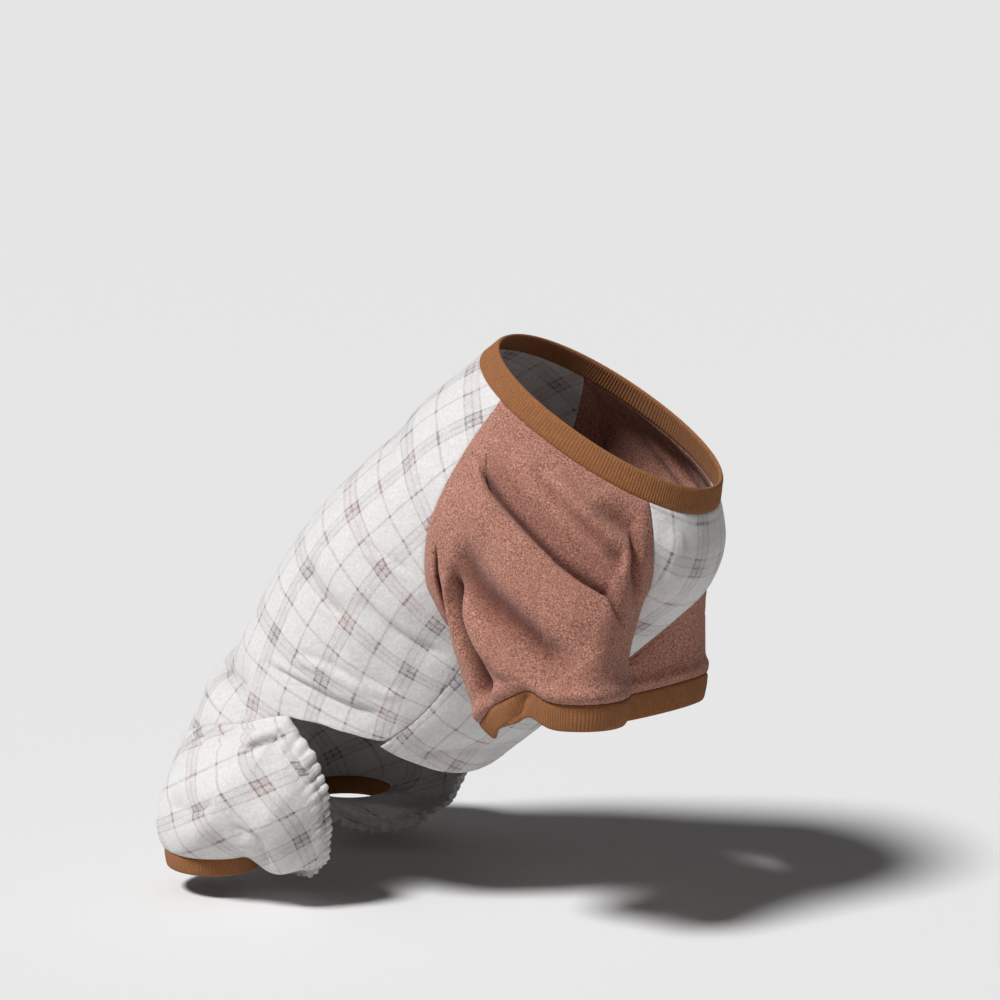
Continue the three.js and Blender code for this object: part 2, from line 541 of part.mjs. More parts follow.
// Ribbing at a sleeve's end.
const CUFF_ROWS = 2;
function frontCuff(side) {
  const turns = SLEEVE_COLUMNS.map(sleeveTurn);
  const rows = steps(0, 1, CUFF_ROWS).map((t) =>
    turns.map((turn) => sleeveRing(side, turn, t)),
  );
  const seam = (j, i) => ringNormal((turn) => sleeveRing(side, turn, 0), turns[i]);
  return clothSolid(stopShort(rows, true, 0), RIB, { ring: true, outward: side, seam });
}

// The hind leg's opening: along the back's edge from the flank to the tail, then the free gathered edge
// under the tail, along the inside of the thigh and up its front to the flank. Shares of TORSO_RUN, ANKLE_SPREAD and ANKLE_DROP.
const SEAM_SHARE = 0.4;
const FREE_EDGE = [
  { x: -0.985, y: 0.16, z: -0.86 },
  { x: -0.94, y: 0.24, z: -0.94 },
  { x: -0.85, y: 0.4, z: -1.01 },
  { x: -0.735, y: 0.56, z: -1.06 },
  { x: -0.62, y: 0.74, z: -1.06 },
  { x: -0.53, y: 0.92, z: -0.985 },
  { x: -0.5, y: 1.05, z: -0.87 },
  { x: -0.515, y: 1.1, z: -0.76 },
];
function legOpening(side, u) {
  if (u <= SEAM_SHARE) {
    const station = mix(FLANK, TAIL_HEM, u / SEAM_SHARE);
    return torsoPoint(station, -side * seamAngle(BACK_EDGE, station));
  }
  const [tail, flank] = [TAIL_HEM, FLANK].map((station) => torsoPoint(station, -side * seamAngle(BACK_EDGE, station)));
  const corners = FREE_EDGE.map(
    (row) => new THREE.Vector3(row.x * TORSO_RUN, side * row.y * ANKLE_SPREAD, row.z * ANKLE_DROP),
  );
  const line = [tail, ...corners, flank];
  const place = ((u - SEAM_SHARE) / (1 - SEAM_SHARE)) * (line.length - 1);
  return new THREE.Vector3(...["x", "y", "z"].map((axis) => through(line.map((point) => point[axis]), place)));
}

// The ankle's oval, taken in by tuck. Turn 0 is ahead and 90 outwards.
function ankleRing(side, turn, tuck, extraDrop) {
  const x = -ANKLE_BEHIND + (ANKLE_LONG / 2 - tuck) * Math.cos(rad(turn));
  const y = ANKLE_SPREAD + (ANKLE_WIDE / 2 - tuck) * Math.sin(rad(turn));
  return new THREE.Vector3(x, side * y, -ANKLE_DROP - extraDrop);
}

const FLANK_TURN = 50; // where the flank's line meets the ankle
const TAIL_TURN = 200; // where the tail's line meets the ankle
const ankleTurn = (u) =>
  u <= SEAM_SHARE
    ? mix(FLANK_TURN, TAIL_TURN, u / SEAM_SHARE)
    : mix(TAIL_TURN, FLANK_TURN + 360, (u - SEAM_SHARE) / (1 - SEAM_SHARE));

// How a hind leg swells, as shares of THIGH_SWELL, by turn.
const LEG_SWELL = [
  { turn: 30, ahead: 0.2, out: 1.15, down: 0.25 },
  { turn: 70, ahead: 0.1, out: 1.2, down: 0.0 },
  { turn: 125, ahead: -0.3, out: 0.75, down: 0.0 },
  { turn: 200, ahead: -0.3, out: 0.2, down: 0.1 },
  { turn: 270, ahead: 0.2, out: -0.2, down: -0.35 },
  { turn: 310, ahead: 0.4, out: 0.0, down: -0.3 },
  { turn: 360, ahead: 0.15, out: 0.85, down: 0.7 },
  { turn: 390, ahead: 0.2, out: 1.15, down: 0.25 },
];

// A point of the smooth hind leg: share u of the way round, share v of the way down.
function legPoint(side, u, v) {
  const turn = ankleTurn(u);
  const swell = swellAt(LEG_SWELL, turn, THIGH_SWELL, side);
  return swollen(legOpening(side, u).lerp(ankleRing(side, turn, 0, 0), v), swell, v);
}

// Gathers at the free edge, which die out down the leg.
function gatherLift(u, v) {
  const share = (u - SEAM_SHARE) / (1 - SEAM_SHARE);
  if (share < 0) return 0;
  const ends = ease(share, 0, 0.08) * ease(1 - share, 0, 0.08);
  return GATHER_LIFT * ends * Math.cos(2 * Math.PI * GATHERS * share) * Math.exp(-v / GATHER_REACH);
}

const LEG_COLUMNS = [
  ...RUMP_ROWS.map((station) => (SEAM_SHARE * (station - FLANK)) / (TAIL_HEM - FLANK)),
  ...steps(SEAM_SHARE, 1, FREE_COLUMNS).slice(1, -1),
];
const LEG_ROWS = 11;
function legRows(side) {
  const rows = steps(0, 1, LEG_ROWS).map((v) => LEG_COLUMNS.map((u) => legPoint(side, u, v)));
  const lifts = steps(0, 1, LEG_ROWS).map((v) =>
    LEG_COLUMNS.map((u) => foldLift(LEG_FOLDS, LEG_SPAN, u, v) + gatherLift(u, v)),
  );
  const folded = foldTube(rows, lifts, -side);
  const edge = rows[0].map((point, i) => {
    const lift = gatherLift(LEG_COLUMNS[i], 0);
    return lift === 0 ? point : point.clone().addScaledVector(gridNormal(rows, 0, i, { ring: true, outward: -side }), lift);
  });
  return [edge, ...folded.slice(1)];
}

// The offsets along a hind leg's seam with the back, in the order of RUMP_ROWS.
function rumpMitres(side) {
  const rows = legRows(side);
  return RUMP_ROWS.map((station, i) => {
    const own = gridNormal(rows, 0, i, { ring: true, outward: -side });
    return mitre(panelNormal(station, -side * seamAngle(BACK_EDGE, station)), own);
  });
}
const RUMP_MITRES = { [RIGHT]: rumpMitres(RIGHT), [LEFT]: rumpMitres(LEFT) };

function hindLeg(side) {
  const rows = stopShort(legRows(side), true);
  const seam = (j, i) => {
    if (j === 0) return RUMP_MITRES[side][i] ?? null;
    return j === LEG_ROWS ? ringNormal((turn) => ankleRing(side, turn, 0, 0), ankleTurn(LEG_COLUMNS[i])) : null;
  };
  return clothSolid(rows, FLEECE, { ring: true, outward: -side, seam });
}

// Ribbing at a hind leg's end.
const ANKLE_COLUMNS = 22;
function hindCuff(side) {
  const turns = steps(0, 360, ANKLE_COLUMNS).slice(0, -1);
  const rows = steps(0, 1, CUFF_ROWS).map((t) => turns.map((turn) => ankleRing(side, turn, CUFF_TUCK * t * t, HIND_CUFF * t)));
  const seam = (j, i) => ringNormal((turn) => ankleRing(side, turn, 0, 0), turns[i]);
  return clothSolid(stopShort(rows, true), RIB, { ring: true, outward: -side, seam });
}

// The plaid panel over the back, from the neck to the tail.
function backPanel() {
  const stations = [...SHOULDER_ROWS, ...SIDE_ROWS, ...FREE_ROWS, ...RUMP_ROWS];
  const rows = stations.map((station) => {
    const edge = seamAngle(station < UNDERARM ? REAR_RAGLAN : BACK_EDGE, station);
    return steps(-edge, edge, BACK_COLUMNS).map((angle) => torsoPoint(station, angle));
  });
  const seam = (j, i) => {
    const share = (2 * i) / BACK_COLUMNS - 1;
    if (j === 0) return neckMitre(share * NECK_FROM);
    if (Math.abs(share) < 1) return null;
    const side = -share;
    if (j < SHOULDER_ROWS.length) return rearMitre(side, j);
    return RUMP_MITRES[side][j - (stations.length - RUMP_ROWS.length)] ?? panelNormal(stations[j], share * seamAngle(BACK_EDGE, stations[j]));
  };
  return clothSolid(stopShort(rows, false), FLEECE, { ring: false, outward: -1, seam });
}

// The plaid panel down the breast and under the belly.
function frontPanel() {
  const stations = [...SHOULDER_ROWS, ...SIDE_ROWS, (BELLY_CORNER + BELLY_HEM) / 2, BELLY_HEM];
  const edgeAt = (station) => seamAngle(station < UNDERARM ? FRONT_RAGLAN : BACK_EDGE, Math.min(station, BELLY_CORNER));
  const rows = stations.map((station) =>
    steps(edgeAt(station), 360 - edgeAt(station), FRONT_COLUMNS).map((angle) => torsoPoint(station, angle)),
  );
  const seam = (j, i) => {
    if (j === 0) return neckMitre(mix(NECK_TO, 360 - NECK_TO, i / FRONT_COLUMNS));
    if (i > 0 && i < FRONT_COLUMNS) return null;
    const side = i === 0 ? RIGHT : LEFT;
    return j < SHOULDER_ROWS.length ? frontMitre(side, j) : panelNormal(stations[j], -side * edgeAt(stations[j]));
  };
  return clothSolid(stopShort(rows, false), FLEECE, { ring: false, outward: -1, seam });
}

// Ribbing round the neck.
function neckBand() {
  const angles = [
    ...steps(-NECK_FROM, NECK_FROM, BACK_COLUMNS).slice(0, -1),
    ...steps(NECK_FROM, NECK_TO, NECK_COLUMNS).slice(0, -1),
    ...steps(NECK_TO, 360 - NECK_TO, FRONT_COLUMNS).slice(0, -1),
    ...steps(360 - NECK_TO, 360 - NECK_FROM, NECK_COLUMNS).slice(0, -1),
  ];
  const rows = steps(0, 1, CUFF_ROWS).map((t) => angles.map((angle) => bandPoint(angle, t)));
  const seam = (j, i) => {
    if (j > 0) return null;
    const [right, left] = [i - BACK_COLUMNS, i - BACK_COLUMNS - NECK_COLUMNS - FRONT_COLUMNS];
    if (right > 0 && right < NECK_COLUMNS) return ARMHOLE_MITRES[RIGHT][REAR_COUNT + right];
    if (left > 0 && left < NECK_COLUMNS) return ARMHOLE_MITRES[LEFT][REAR_COUNT + NECK_COLUMNS - left];
    return neckMitre(angles[i]);
  };
  return clothSolid(stopShort(rows, true), RIB, { ring: true, outward: 1, seam });
}

const plaid = new THREE.MeshStandardMaterial({ color: 0xdedad6, roughness: 0.95, metalness: 0, name: "plaid fleece" });
const mauve = new THREE.MeshStandardMaterial({ color: 0x9a6657, roughness: 0.95, metalness: 0, name: "brown sleeve cloth" });
const ochre = new THREE.MeshStandardMaterial({ color: 0xa06c35, roughness: 0.9, metalness: 0, name: "ochre ribbing" });

function piece(name, geometry, material) {
  const mesh = new THREE.Mesh(geometry, material);
  mesh.name = name;
  return mesh;
}

const jumpsuit = new THREE.Group();
jumpsuit.add(piece("back_panel", backPanel(), plaid));
jumpsuit.add(piece("belly_panel", frontPanel(), plaid));
jumpsuit.add(piece("neck_band", neckBand(), ochre));
for (const [label, side] of [["right", RIGHT], ["left", LEFT]]) {
  jumpsuit.add(piece(`sleeve_${label}`, sleeve(side), mauve));
  jumpsuit.add(piece(`front_cuff_${label}`, frontCuff(side), ochre));
  jumpsuit.add(piece(`hind_leg_${label}`, hindLeg(side), plaid));
  jumpsuit.add(piece(`hind_cuff_${label}`, hindCuff(side), ochre));
}

export default jumpsuit;
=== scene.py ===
import bpy
import numpy as np
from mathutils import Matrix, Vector


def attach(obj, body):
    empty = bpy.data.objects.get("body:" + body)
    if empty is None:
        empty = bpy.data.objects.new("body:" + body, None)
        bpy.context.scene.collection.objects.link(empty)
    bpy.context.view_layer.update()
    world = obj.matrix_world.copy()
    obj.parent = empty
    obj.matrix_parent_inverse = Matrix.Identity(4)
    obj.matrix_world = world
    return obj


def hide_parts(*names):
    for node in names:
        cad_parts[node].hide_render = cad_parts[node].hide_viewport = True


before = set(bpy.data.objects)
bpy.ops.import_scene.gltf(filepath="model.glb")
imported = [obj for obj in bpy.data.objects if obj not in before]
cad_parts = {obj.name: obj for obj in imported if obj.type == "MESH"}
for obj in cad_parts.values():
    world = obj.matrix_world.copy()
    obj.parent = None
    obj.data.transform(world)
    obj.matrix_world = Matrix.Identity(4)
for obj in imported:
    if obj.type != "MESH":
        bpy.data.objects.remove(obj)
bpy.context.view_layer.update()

MM = 0.001
RIGHT, LEFT = -1, 1  # the sign of Y
SIDE_NAME = {RIGHT: "right", LEFT: "left"}

# Cloth
FLEECE = 2.2
SLEEVE_CLOTH = 2.2
RIB = 3.4

# Neck opening and torso
NECK_LONG = 243
NECK_WIDE = 166
NECK_TILT = 30
NECK_BAND = 21
NECK_HUG = 0.07
TORSO_RUN = 400
TORSO_DROP = 370
CHEST_WIDTH = 240

# Sleeves
SLEEVE_DROP = 205
SLEEVE_AHEAD = 16
SLEEVE_SLIP = 42
SLEEVE_LAG = 26
SLEEVE_TIP = 0.3
SLEEVE_SPREAD = 97
SLEEVE_END_LONG = 124
SLEEVE_END_WIDE = 84
SHOULDER_SWELL = 26
SLEEVE_CLEAR = 5
ARMPIT_CLEAR = 15
FRONT_CUFF = 24
FRONT_CUFF_TAPER = 0.07

# Hind legs
ANKLE_BEHIND = 328
ANKLE_SPREAD = 112
ANKLE_DROP = 387
ANKLE_LONG = 84
ANKLE_WIDE = 76
THIGH_SWELL = 30
HIND_CUFF = 17
CUFF_TUCK = 2
GATHERS = 12
GATHER_LIFT = 1.3
GATHER_REACH = 0.2

SWELL_FULLNESS = 0.85
SAG_FULLNESS = 1.7
BACK_EGG = 0.35

# Torso stations from the neck to the tail, as shares of TORSO_RUN (X), TORSO_DROP (Z) and CHEST_WIDTH.
NECK_RUN = NECK_LONG / 2 * np.cos(np.radians(NECK_TILT)) / TORSO_RUN
NECK_RISE = NECK_LONG / 2 * np.sin(np.radians(NECK_TILT)) / TORSO_DROP
TORSO = {
    "back_x": [-NECK_RUN, -0.335, -0.405, -0.47, -0.533, -0.6, -0.66, -0.718, -0.768, -0.812, -0.862, -0.928,
               -0.965, -0.99],
    "back_z": [NECK_RISE, 0.1, 0.035, -0.035, -0.1, -0.17, -0.243, -0.322, -0.405, -0.488, -0.578, -0.652,
               -0.73, -0.811],
    "front_x": [NECK_RUN, 0.272, 0.242, 0.175, 0.092, 0.0, -0.095, -0.192, -0.288, -0.375, -0.475, -0.6,
                -0.725, -0.85],
    "front_z": [-NECK_RISE, -0.255, -0.345, -0.425, -0.505, -0.59, -0.675, -0.76, -0.84, -0.905, -0.945,
                -0.973, -1.0, -1.0],
    "width": [NECK_WIDE / CHEST_WIDTH, 0.83, 0.9, 0.92, 0.92, 0.94, 0.97, 0.99, 1.0, 1.0, 0.98, 0.94, 0.86,
              0.76],
    "egg": [0.0, 0.04, 0.12, 0.24, 0.38, 0.44, 0.32, 0.16, 0.04, 0.0, 0.0, 0.0, 0.0, 0.0],
    "square": [0.96, 0.94, 0.93, 0.93, 0.93, 0.92, 0.9, 0.9, 0.9, 0.9, 0.92, 0.94, 0.96, 1.0],
}

# Seam lines on the torso: rows of station and angle round from the back's middle.
UNDERARM = 5.2
BELLY_HEM = 8.0
BELLY_CORNER = 7.6
TAIL_HEM = 12.9
FLANK = 9
REAR_RAGLAN = [(0, 60), (1.5, 66), (3, 74), (4.2, 86), (4.9, 101), (UNDERARM, 114)]
FRONT_RAGLAN = [(0, 137), (1, 142), (2.1, 148), (3.1, 150), (4, 144), (4.8, 130), (UNDERARM, 114)]
BACK_EDGE = [(UNDERARM, 114), (6.2, 119), (7.2, 122), (7.8, 121), (8.1, 111), (8.5, 98), (FLANK, 89),
             (10, 80), (11, 70), (12, 57), (TAIL_HEM, 38)]
NECK_FROM, NECK_TO = REAR_RAGLAN[0][1], FRONT_RAGLAN[0][1]

# Folds: rows of u0, v0, u1, v1, u2, v2 (three places on the curve), lift and half width of the soft form,
# then crease (depth of a sharp valley along the curve) and bank (height of a ridge beside it, its sign the
# side). The torso's places are degrees round it and stations along it, the others' are shares.
TORSO_FOLDS = [
    (48, 6.1, 66, 6.35, 84, 6.15, -4, 11, 1.6, 1.5),
    (76, 5.6, 94, 5.75, 111, 5.6, -3, 11, 1.5, -1.5),
    (64, 8.7, 91, 7.95, 114, 7.35, -3.6, 12, 1.9, -2.4),
    (20, 10.7, 48, 9.95, 70, 9.5, -6, 13, 1.2, -1.2),
    (70, 8.0, 88, 7.25, 104, 7.1, 0, 12, 2.3, 2.0),
    (86, 6.6, 99, 6.9, 110, 6.6, 0, 12, 1.9, 1.8),
    (62, 4.75, 74, 4.55, 86, 4.45, 0, 12, 1.8, 1.5),
    (151, 0.4, 155, 1.3, 161, 2.4, 3.5, 9, 0.8, 0.0),
    (130, 8.0, 158, 7.3, 190, 7.5, -4, 13, 0.8, 1.0),
    (-46, 6.2, -66, 6.4, -86, 6.1, -4, 12, 1.0, 1.2),
    (-60, 8.6, -88, 7.8, -112, 7.4, -4, 12, 0.8, 1.2),
    (-22, 10.6, -46, 9.9, -68, 9.5, -5, 13, 0.8, 1.2),
    (-44, 3.3, 0, 2.7, 40, 3.1, -2.5, 15, 0.4, 0.6),
]
TORSO_SPAN = (2.05, 38)  # millimetres per degree and per station
SLEEVE_FOLDS = [
    (0.385, 0.17, 0.485, 0.375, 0.7, 0.495, -7, 9, 5.6, 5.2),
    (0.36, 0.24, 0.48, 0.5, 0.64, 0.62, 3, 13, 0.0, 0.0),
    (0.41, 0.12, 0.5, 0.29, 0.65, 0.38, -4, 12, 0.0, 0.0),
    (0.44, 0.1, 0.52, 0.18, 0.6, 0.28, 4, 10, 0.0, 0.0),
    (0.48, 0.08, 0.555, 0.17, 0.64, 0.27, 6, 6.5, 0.0, 0.0),
    (0.465, 0.1, 0.535, 0.2, 0.62, 0.32, -6, 6, 2.5, 0.0),
    (0.54, 0.07, 0.61, 0.15, 0.72, 0.24, -7, 12, 0.0, 0.0),
    (0.308, 0.33, 0.41, 0.69, 0.6, 0.79, -11, 14, 0.0, 0.0),
    (0.29, 0.48, 0.365, 0.8, 0.46, 0.99, 7, 8, 0.0, 0.0),
    (0.28, 0.4, 0.31, 0.78, 0.4, 1.3, -20, 9.5, 1.0, 0.0),
    (0.25, 0.36, 0.265, 0.6, 0.315, 0.92, 6, 6, 0.0, 0.0),
    (0.222, 0.2, 0.208, 0.42, 0.205, 0.66, -6, 7, 5.0, 0.0),
    (0.08, 0.45, 0.16, 0.6, 0.2, 0.9, -4, 12, 0.8, 1.0),
    (0.8, 0.3, 0.86, 0.5, 0.95, 0.6, -4, 13, 0.8, 1.0),
]
SLEEVE_SPAN = (500, 190)
LEFT_FOLDS = 0.45  # the left sleeve hangs calmer
LEG_FOLDS = [
    (0.065, 0.15, 0.02, 0.125, -0.025, 0.085, -3, 4, 9.0, 3.4),
    (1.065, 0.15, 1.02, 0.125, 0.975, 0.085, -3, 4, 9.0, 3.4),
    (0.04, 0.5, 0.11, 0.6, 0.2, 0.55, -4, 12, 0.6, 1.0),
    (0.99, 0.68, 0.93, 0.58, 0.86, 0.6, -3, 11, 0.8, 1.0),
    (0.24, 0.3, 0.29, 0.45, 0.33, 0.7, -4, 12, 0.6, 1.0),
]
LEG_SPAN = (430, 130)
CREASE_WIDTH = 3.2
BANK_AT = 6.5
BANK_WIDTH = 4.0
FOLD_PARTS = 12

# A sleeve's end and its way round
REAR_SHARE = 0.41
FRONT_SHARE = 0.41
NECK_SHARE = 1 - REAR_SHARE - FRONT_SHARE
UNDERARM_TURN = 232
REAR_CORNER_TURN = 112
FRONT_CORNER_TURN = 62
PINCH = {"turn": 163, "spread": 30, "out": 0.16, "sag": 33, "loosen": 0.35}
CREST = {"turn": 98, "spread": 15, "rise": 8, "dent": 0.07}
CUFF_CREASE = {"turn": 100, "lean": 12, "spread": 7, "dent": 0.09, "swell": 0.03}
LEFT_SHARE = 0.4
RIGHT_SWELL = [(-128, 0.1, 0.3, 0.1), (-60, 0.0, 0.1, 0.2), (5, -0.3, 0.25, 0.0), (60, 0.1, 0.7, -0.1),
               (110, -0.1, 1.0, -0.1), (170, -0.25, 0.6, 0.0), (232, 0.1, 0.3, 0.1)]
LEFT_SWELL = [(-128, -0.1, 0.3, 0.1), (-60, -0.5, 0.0, 0.1), (0, -0.5, 0.1, 0.0), (60, -0.3, 0.5, -0.1),
              (110, -0.3, 0.9, -0.1), (170, -0.45, 0.6, 0.0), (232, -0.1, 0.3, 0.1)]

# A hind leg's opening and its way round
SEAM_SHARE = 0.4
FREE_EDGE = [(-0.985, 0.16, -0.86), (-0.94, 0.24, -0.94), (-0.85, 0.4, -1.01), (-0.735, 0.56, -1.06),
             (-0.62, 0.74, -1.06), (-0.53, 0.92, -0.985), (-0.5, 1.05, -0.87), (-0.515, 1.1, -0.76)]
FLANK_TURN = 50
TAIL_TURN = 200
LEG_SWELL = [(30, 0.2, 1.15, 0.25), (70, 0.1, 1.2, 0.0), (125, -0.3, 0.75, 0.0), (200, -0.3, 0.2, 0.1),
             (270, 0.2, -0.2, -0.35), (310, 0.4, 0.0, -0.3), (360, 0.15, 0.85, 0.7), (390, 0.2, 1.15, 0.25)]

# Rough lengths of the panels' parts, which set how many rows and columns their grids have
BACK_LONG = (235, 145, 140)
BACK_ROUND = 430
BELLY_LONG = (170, 110)
BELLY_ROUND = 170
SLEEVE_LONG = 215
SLEEVE_ROUND = (205, 90)  # the seam's rear or front part, and the neck part
LEG_LONG = 150
LEG_ROUND = (190, 330)  # the sewn part and the free edge
NECK_GIRTH = 645
FRONT_CUFF_GIRTH = 350
HIND_CUFF_GIRTH = 250

# Fine form of the cloth
PITCH = 2.6  # spacing of the grids
SLEEVE_PITCH = 1.8
LEG_PITCH = 2.0
FREE_EDGE_PITCH = 1.5
RIB_ROW = 1.6
HALVINGS = 24  # how often the search for a torso station halves its range
FLEECE_SHADE_DEPTH = 7  # depth of a hollow at which its painted shade is full
# depth of a hollow at which the sleeves' painted shade is full
SLEEVE_SHADE_DEPTH = 12
BACK_CALM = 14  # how far from an edge small folds take to reach their full height
BELLY_CALM = 12
SLEEVE_CALM = 12
LEG_CALM = 16
CUFF_CALM = 10
CRUMPLE = ((62, 1.3), (34, 0.45), (13, 0.16))  # size and height of its slow, ridged and fine parts
PUCKER = {"pitch": 5.2, "drift": 23, "lift": 0.28, "reach": 5}
SEED = {"back": 11, "belly": 21, "sleeve": 31, "leg_right": 41, "leg_left": 51, "rib": 71}
OVERHANG = 3.0  # how far a sleeve puffs out over its cuff
EDGE_STEPS = [0.5, 1.1, 1.9, 3.0, 4.5]  # places of the grid lines next to an edge
SEAM_ROLL = 3.8  # how far from a seam the cloth takes to reach its full thickness
SEAM_EDGE = 0.25  # share of the thickness left in the seam
LOFT = 0.5  # fleece stands this far proud of its wall between the seams
HEM = 12.0  # depth of the turned hems
HEM_PLUS = 0.5
STITCH_DEPTH = 0.7
RIB_PITCH = 2.6
RIB_DEPTH = 0.75
RIB_STEPS = 5  # columns across a rib
RIB_START = 2.5  # how far from an edge the ribs take to reach their full depth
ELASTIC = 9.0  # depth of the elastic tunnel along a hind leg's free edge
TUCKS = 47  # small gathers along it
TUCK_LIFT = 1.8


def ease(x, low, high):
    """A smooth rise from 0 to 1 as x goes from low to high."""
    f = np.clip((x - low) / (high - low), 0, 1)
    return f * f * (3 - 2 * f)


def mix(a, b, f):
    return a + (b - a) * f


def unit(v):
    return v / np.maximum(np.linalg.norm(v, axis=-1, keepdims=True), 1e-9)


def pack(x, y, z):
    return np.stack(np.broadcast_arrays(x, y, z), axis=-1)


def through(values, t):
    """A smooth curve through evenly spaced values, at places t counted in values."""
    values = np.asarray(values, float)
    last = len(values) - 1
    i = np.clip(np.floor(t), 0, last - 1).astype(int)
    f = t - i
    a, b, c, d = (values[np.clip(i + k, 0, last)] for k in (-1, 0, 1, 2))
    return b + 0.5 * f * (c - a + f * (2 * a - 5 * b + 4 * c - d + f * (3 * (b - c) + d - a)))


def seam_angle(rows, station):
    """The angle of a seam line at a station, along a monotone cubic through its rows."""
    s, a = np.array(rows, float).T
    slope = np.diff(a) / np.diff(s)
    before, after = slope[:-1], slope[1:]
    same = before * after > 0
    inner = np.where(same, 2 * before * after / np.where(same, before + after, 1), 0)
    tangent = np.concatenate([slope[:1], inner, slope[-1:]])
    i = np.clip(np.searchsorted(s, station) - 1, 0, len(s) - 2)
    span = s[i + 1] - s[i]
    f = np.clip((station - s[i]) / span, 0, 1)
    f2, f3 = f * f, f * f * f
    return (
        a[i] * (2 * f3 - 3 * f2 + 1)
        + tangent[i] * span * (f3 - 2 * f2 + f)
        + a[i + 1] * (3 * f2 - 2 * f3)
        + tangent[i + 1] * span * (f3 - f2)
    )


def fold_lift(folds, span, u, v, sharp=0.0):
    """How far a table of folds lifts the cloth at places u across and v along.

    sharp adds its creases and banks.
    """
    u, v = np.broadcast_arrays(np.asarray(u, float), np.asarray(v, float))
    total = np.zeros(u.shape)
    for u0, v0, u1, v1, u2, v2, lift, width, crease, bank in folds:
        t = np.linspace(0, 1, FOLD_PARTS + 1)
        w0, w1, w2 = (1 - t) * (1 - 2 * t), 4 * t * (1 - t), t * (2 * t - 1)
        px = (u0 * w0 + u1 * w1 + u2 * w2) * span[0]
        py = (v0 * w0 + v1 * w1 + v2 * w2) * span[1]
        x, y = u * span[0], v * span[1]
        nearest = np.full(u.shape, np.inf)
        where = np.zeros(u.shape)
        turn = np.ones(u.shape)
        for k in range(FOLD_PARTS):
            dx, dy = px[k + 1] - px[k], py[k + 1] - py[k]
            f = np.clip(((x - px[k]) * dx + (y - py[k]) * dy) / (dx * dx + dy * dy), 0, 1)
            ox, oy = x - px[k] - f * dx, y - py[k] - f * dy
            distance = np.hypot(ox, oy)
            closer = distance < nearest
            nearest = np.where(closer, distance, nearest)
            where = np.where(closer, (k + f) / FOLD_PARTS, where)
            turn = np.where(closer, np.sign(dx * oy - dy * ox), turn)
        fade = ease(where, -0.02, 0.25) * ease(1 - where, -0.02, 0.25)
        shape = lift * np.exp(-((nearest / width) ** 2))
        if sharp:
            shape -= sharp * crease * np.exp(-nearest / CREASE_WIDTH)
            beside = nearest * turn * (np.sign(bank) or 1) - BANK_AT
            shape += sharp * abs(bank) * np.exp(-((beside / BANK_WIDTH) ** 2))
        total += fade * shape
    return total


def creases(folds, span, u, v):
    """The creases and banks of a table of folds, without its soft form."""
    return fold_lift([(*fold[:6], 0, *fold[7:]) for fold in folds], span, u, v, 1.0)


def gradient_table(seed):
    return unit(np.random.default_rng(seed).normal(size=(512, 3)))


def noise(points, size, seed):
    """Smooth noise from about -1 to 1 at points, with features of that size in millimetres."""
    gradients = gradient_table(seed)
    p = points / size + 100.0
    cell = np.floor(p).astype(np.int64)
    f = p - cell
    w = f * f * f * (f * (f * 6 - 15) + 10)
    total = np.zeros(points.shape[:-1])
    for corner in np.ndindex(2, 2, 2):
        at = cell + np.array(corner)
        key = (at[..., 0] * 73856093 ^ at[..., 1] * 19349663 ^ at[..., 2] * 83492791) & 511
        dot = np.sum(gradients[key] * (f - np.array(corner)), axis=-1)
        total += dot * np.prod(np.where(np.array(corner) == 1, w, 1 - w), axis=-1)
    return total * 1.6


def ridges(points, size, seed):
    """Noise with soft hollows and narrow ridges, from about -1 to 1."""
    return 1 - 2.6 * np.abs(noise(points, size, seed))


def torso_column(name, station):
    return through(TORSO[name], station)


def torso_ends(station):
    """The middle of the back and of the front at a station, as back x, back z, front x and front z."""
    return (
        torso_column("back_x", station) * TORSO_RUN,
        torso_column("back_z", station) * TORSO_DROP,
        torso_column("front_x", station) * TORSO_RUN,
        torso_column("front_z", station) * TORSO_DROP,
    )


def egg_shape(egg, c):
    return 1 + egg * np.where(c < 0, c, BACK_EGG * c)


def body_point(station, angle):
    """A point of the smooth torso: station along it, angle round it from the back's middle.

    Angles are positive on the right.
    """
    bx, bz, fx, fz = torso_ends(station)
    half = torso_column("width", station) * CHEST_WIDTH / 2
    square = torso_column("square", station)
    c, s = (np.sign(v) * np.abs(v) ** square for v in (np.cos(np.radians(angle)), np.sin(np.radians(angle))))
    y = RIGHT * half * s * egg_shape(torso_column("egg", station), c)
    return pack((bx + fx) / 2 + c * (bx - fx) / 2, y, (bz + fz) / 2 + c * (bz - fz) / 2)


def torso_normal(surface, station, angle):
    along = surface(station + 0.05, angle) - surface(np.maximum(station - 0.05, 0), angle)
    across = surface(station, angle + 1) - surface(station, angle - 1)
    return unit(np.cross(along, across))


def torso_point(station, angle):
    """A point of the torso with its soft folds."""
    turned = (angle + 180) % 360 - 180
    lift = fold_lift(TORSO_FOLDS, TORSO_SPAN, turned, station)
    return body_point(station, angle) + torso_normal(body_point, station, angle) * lift[..., None]


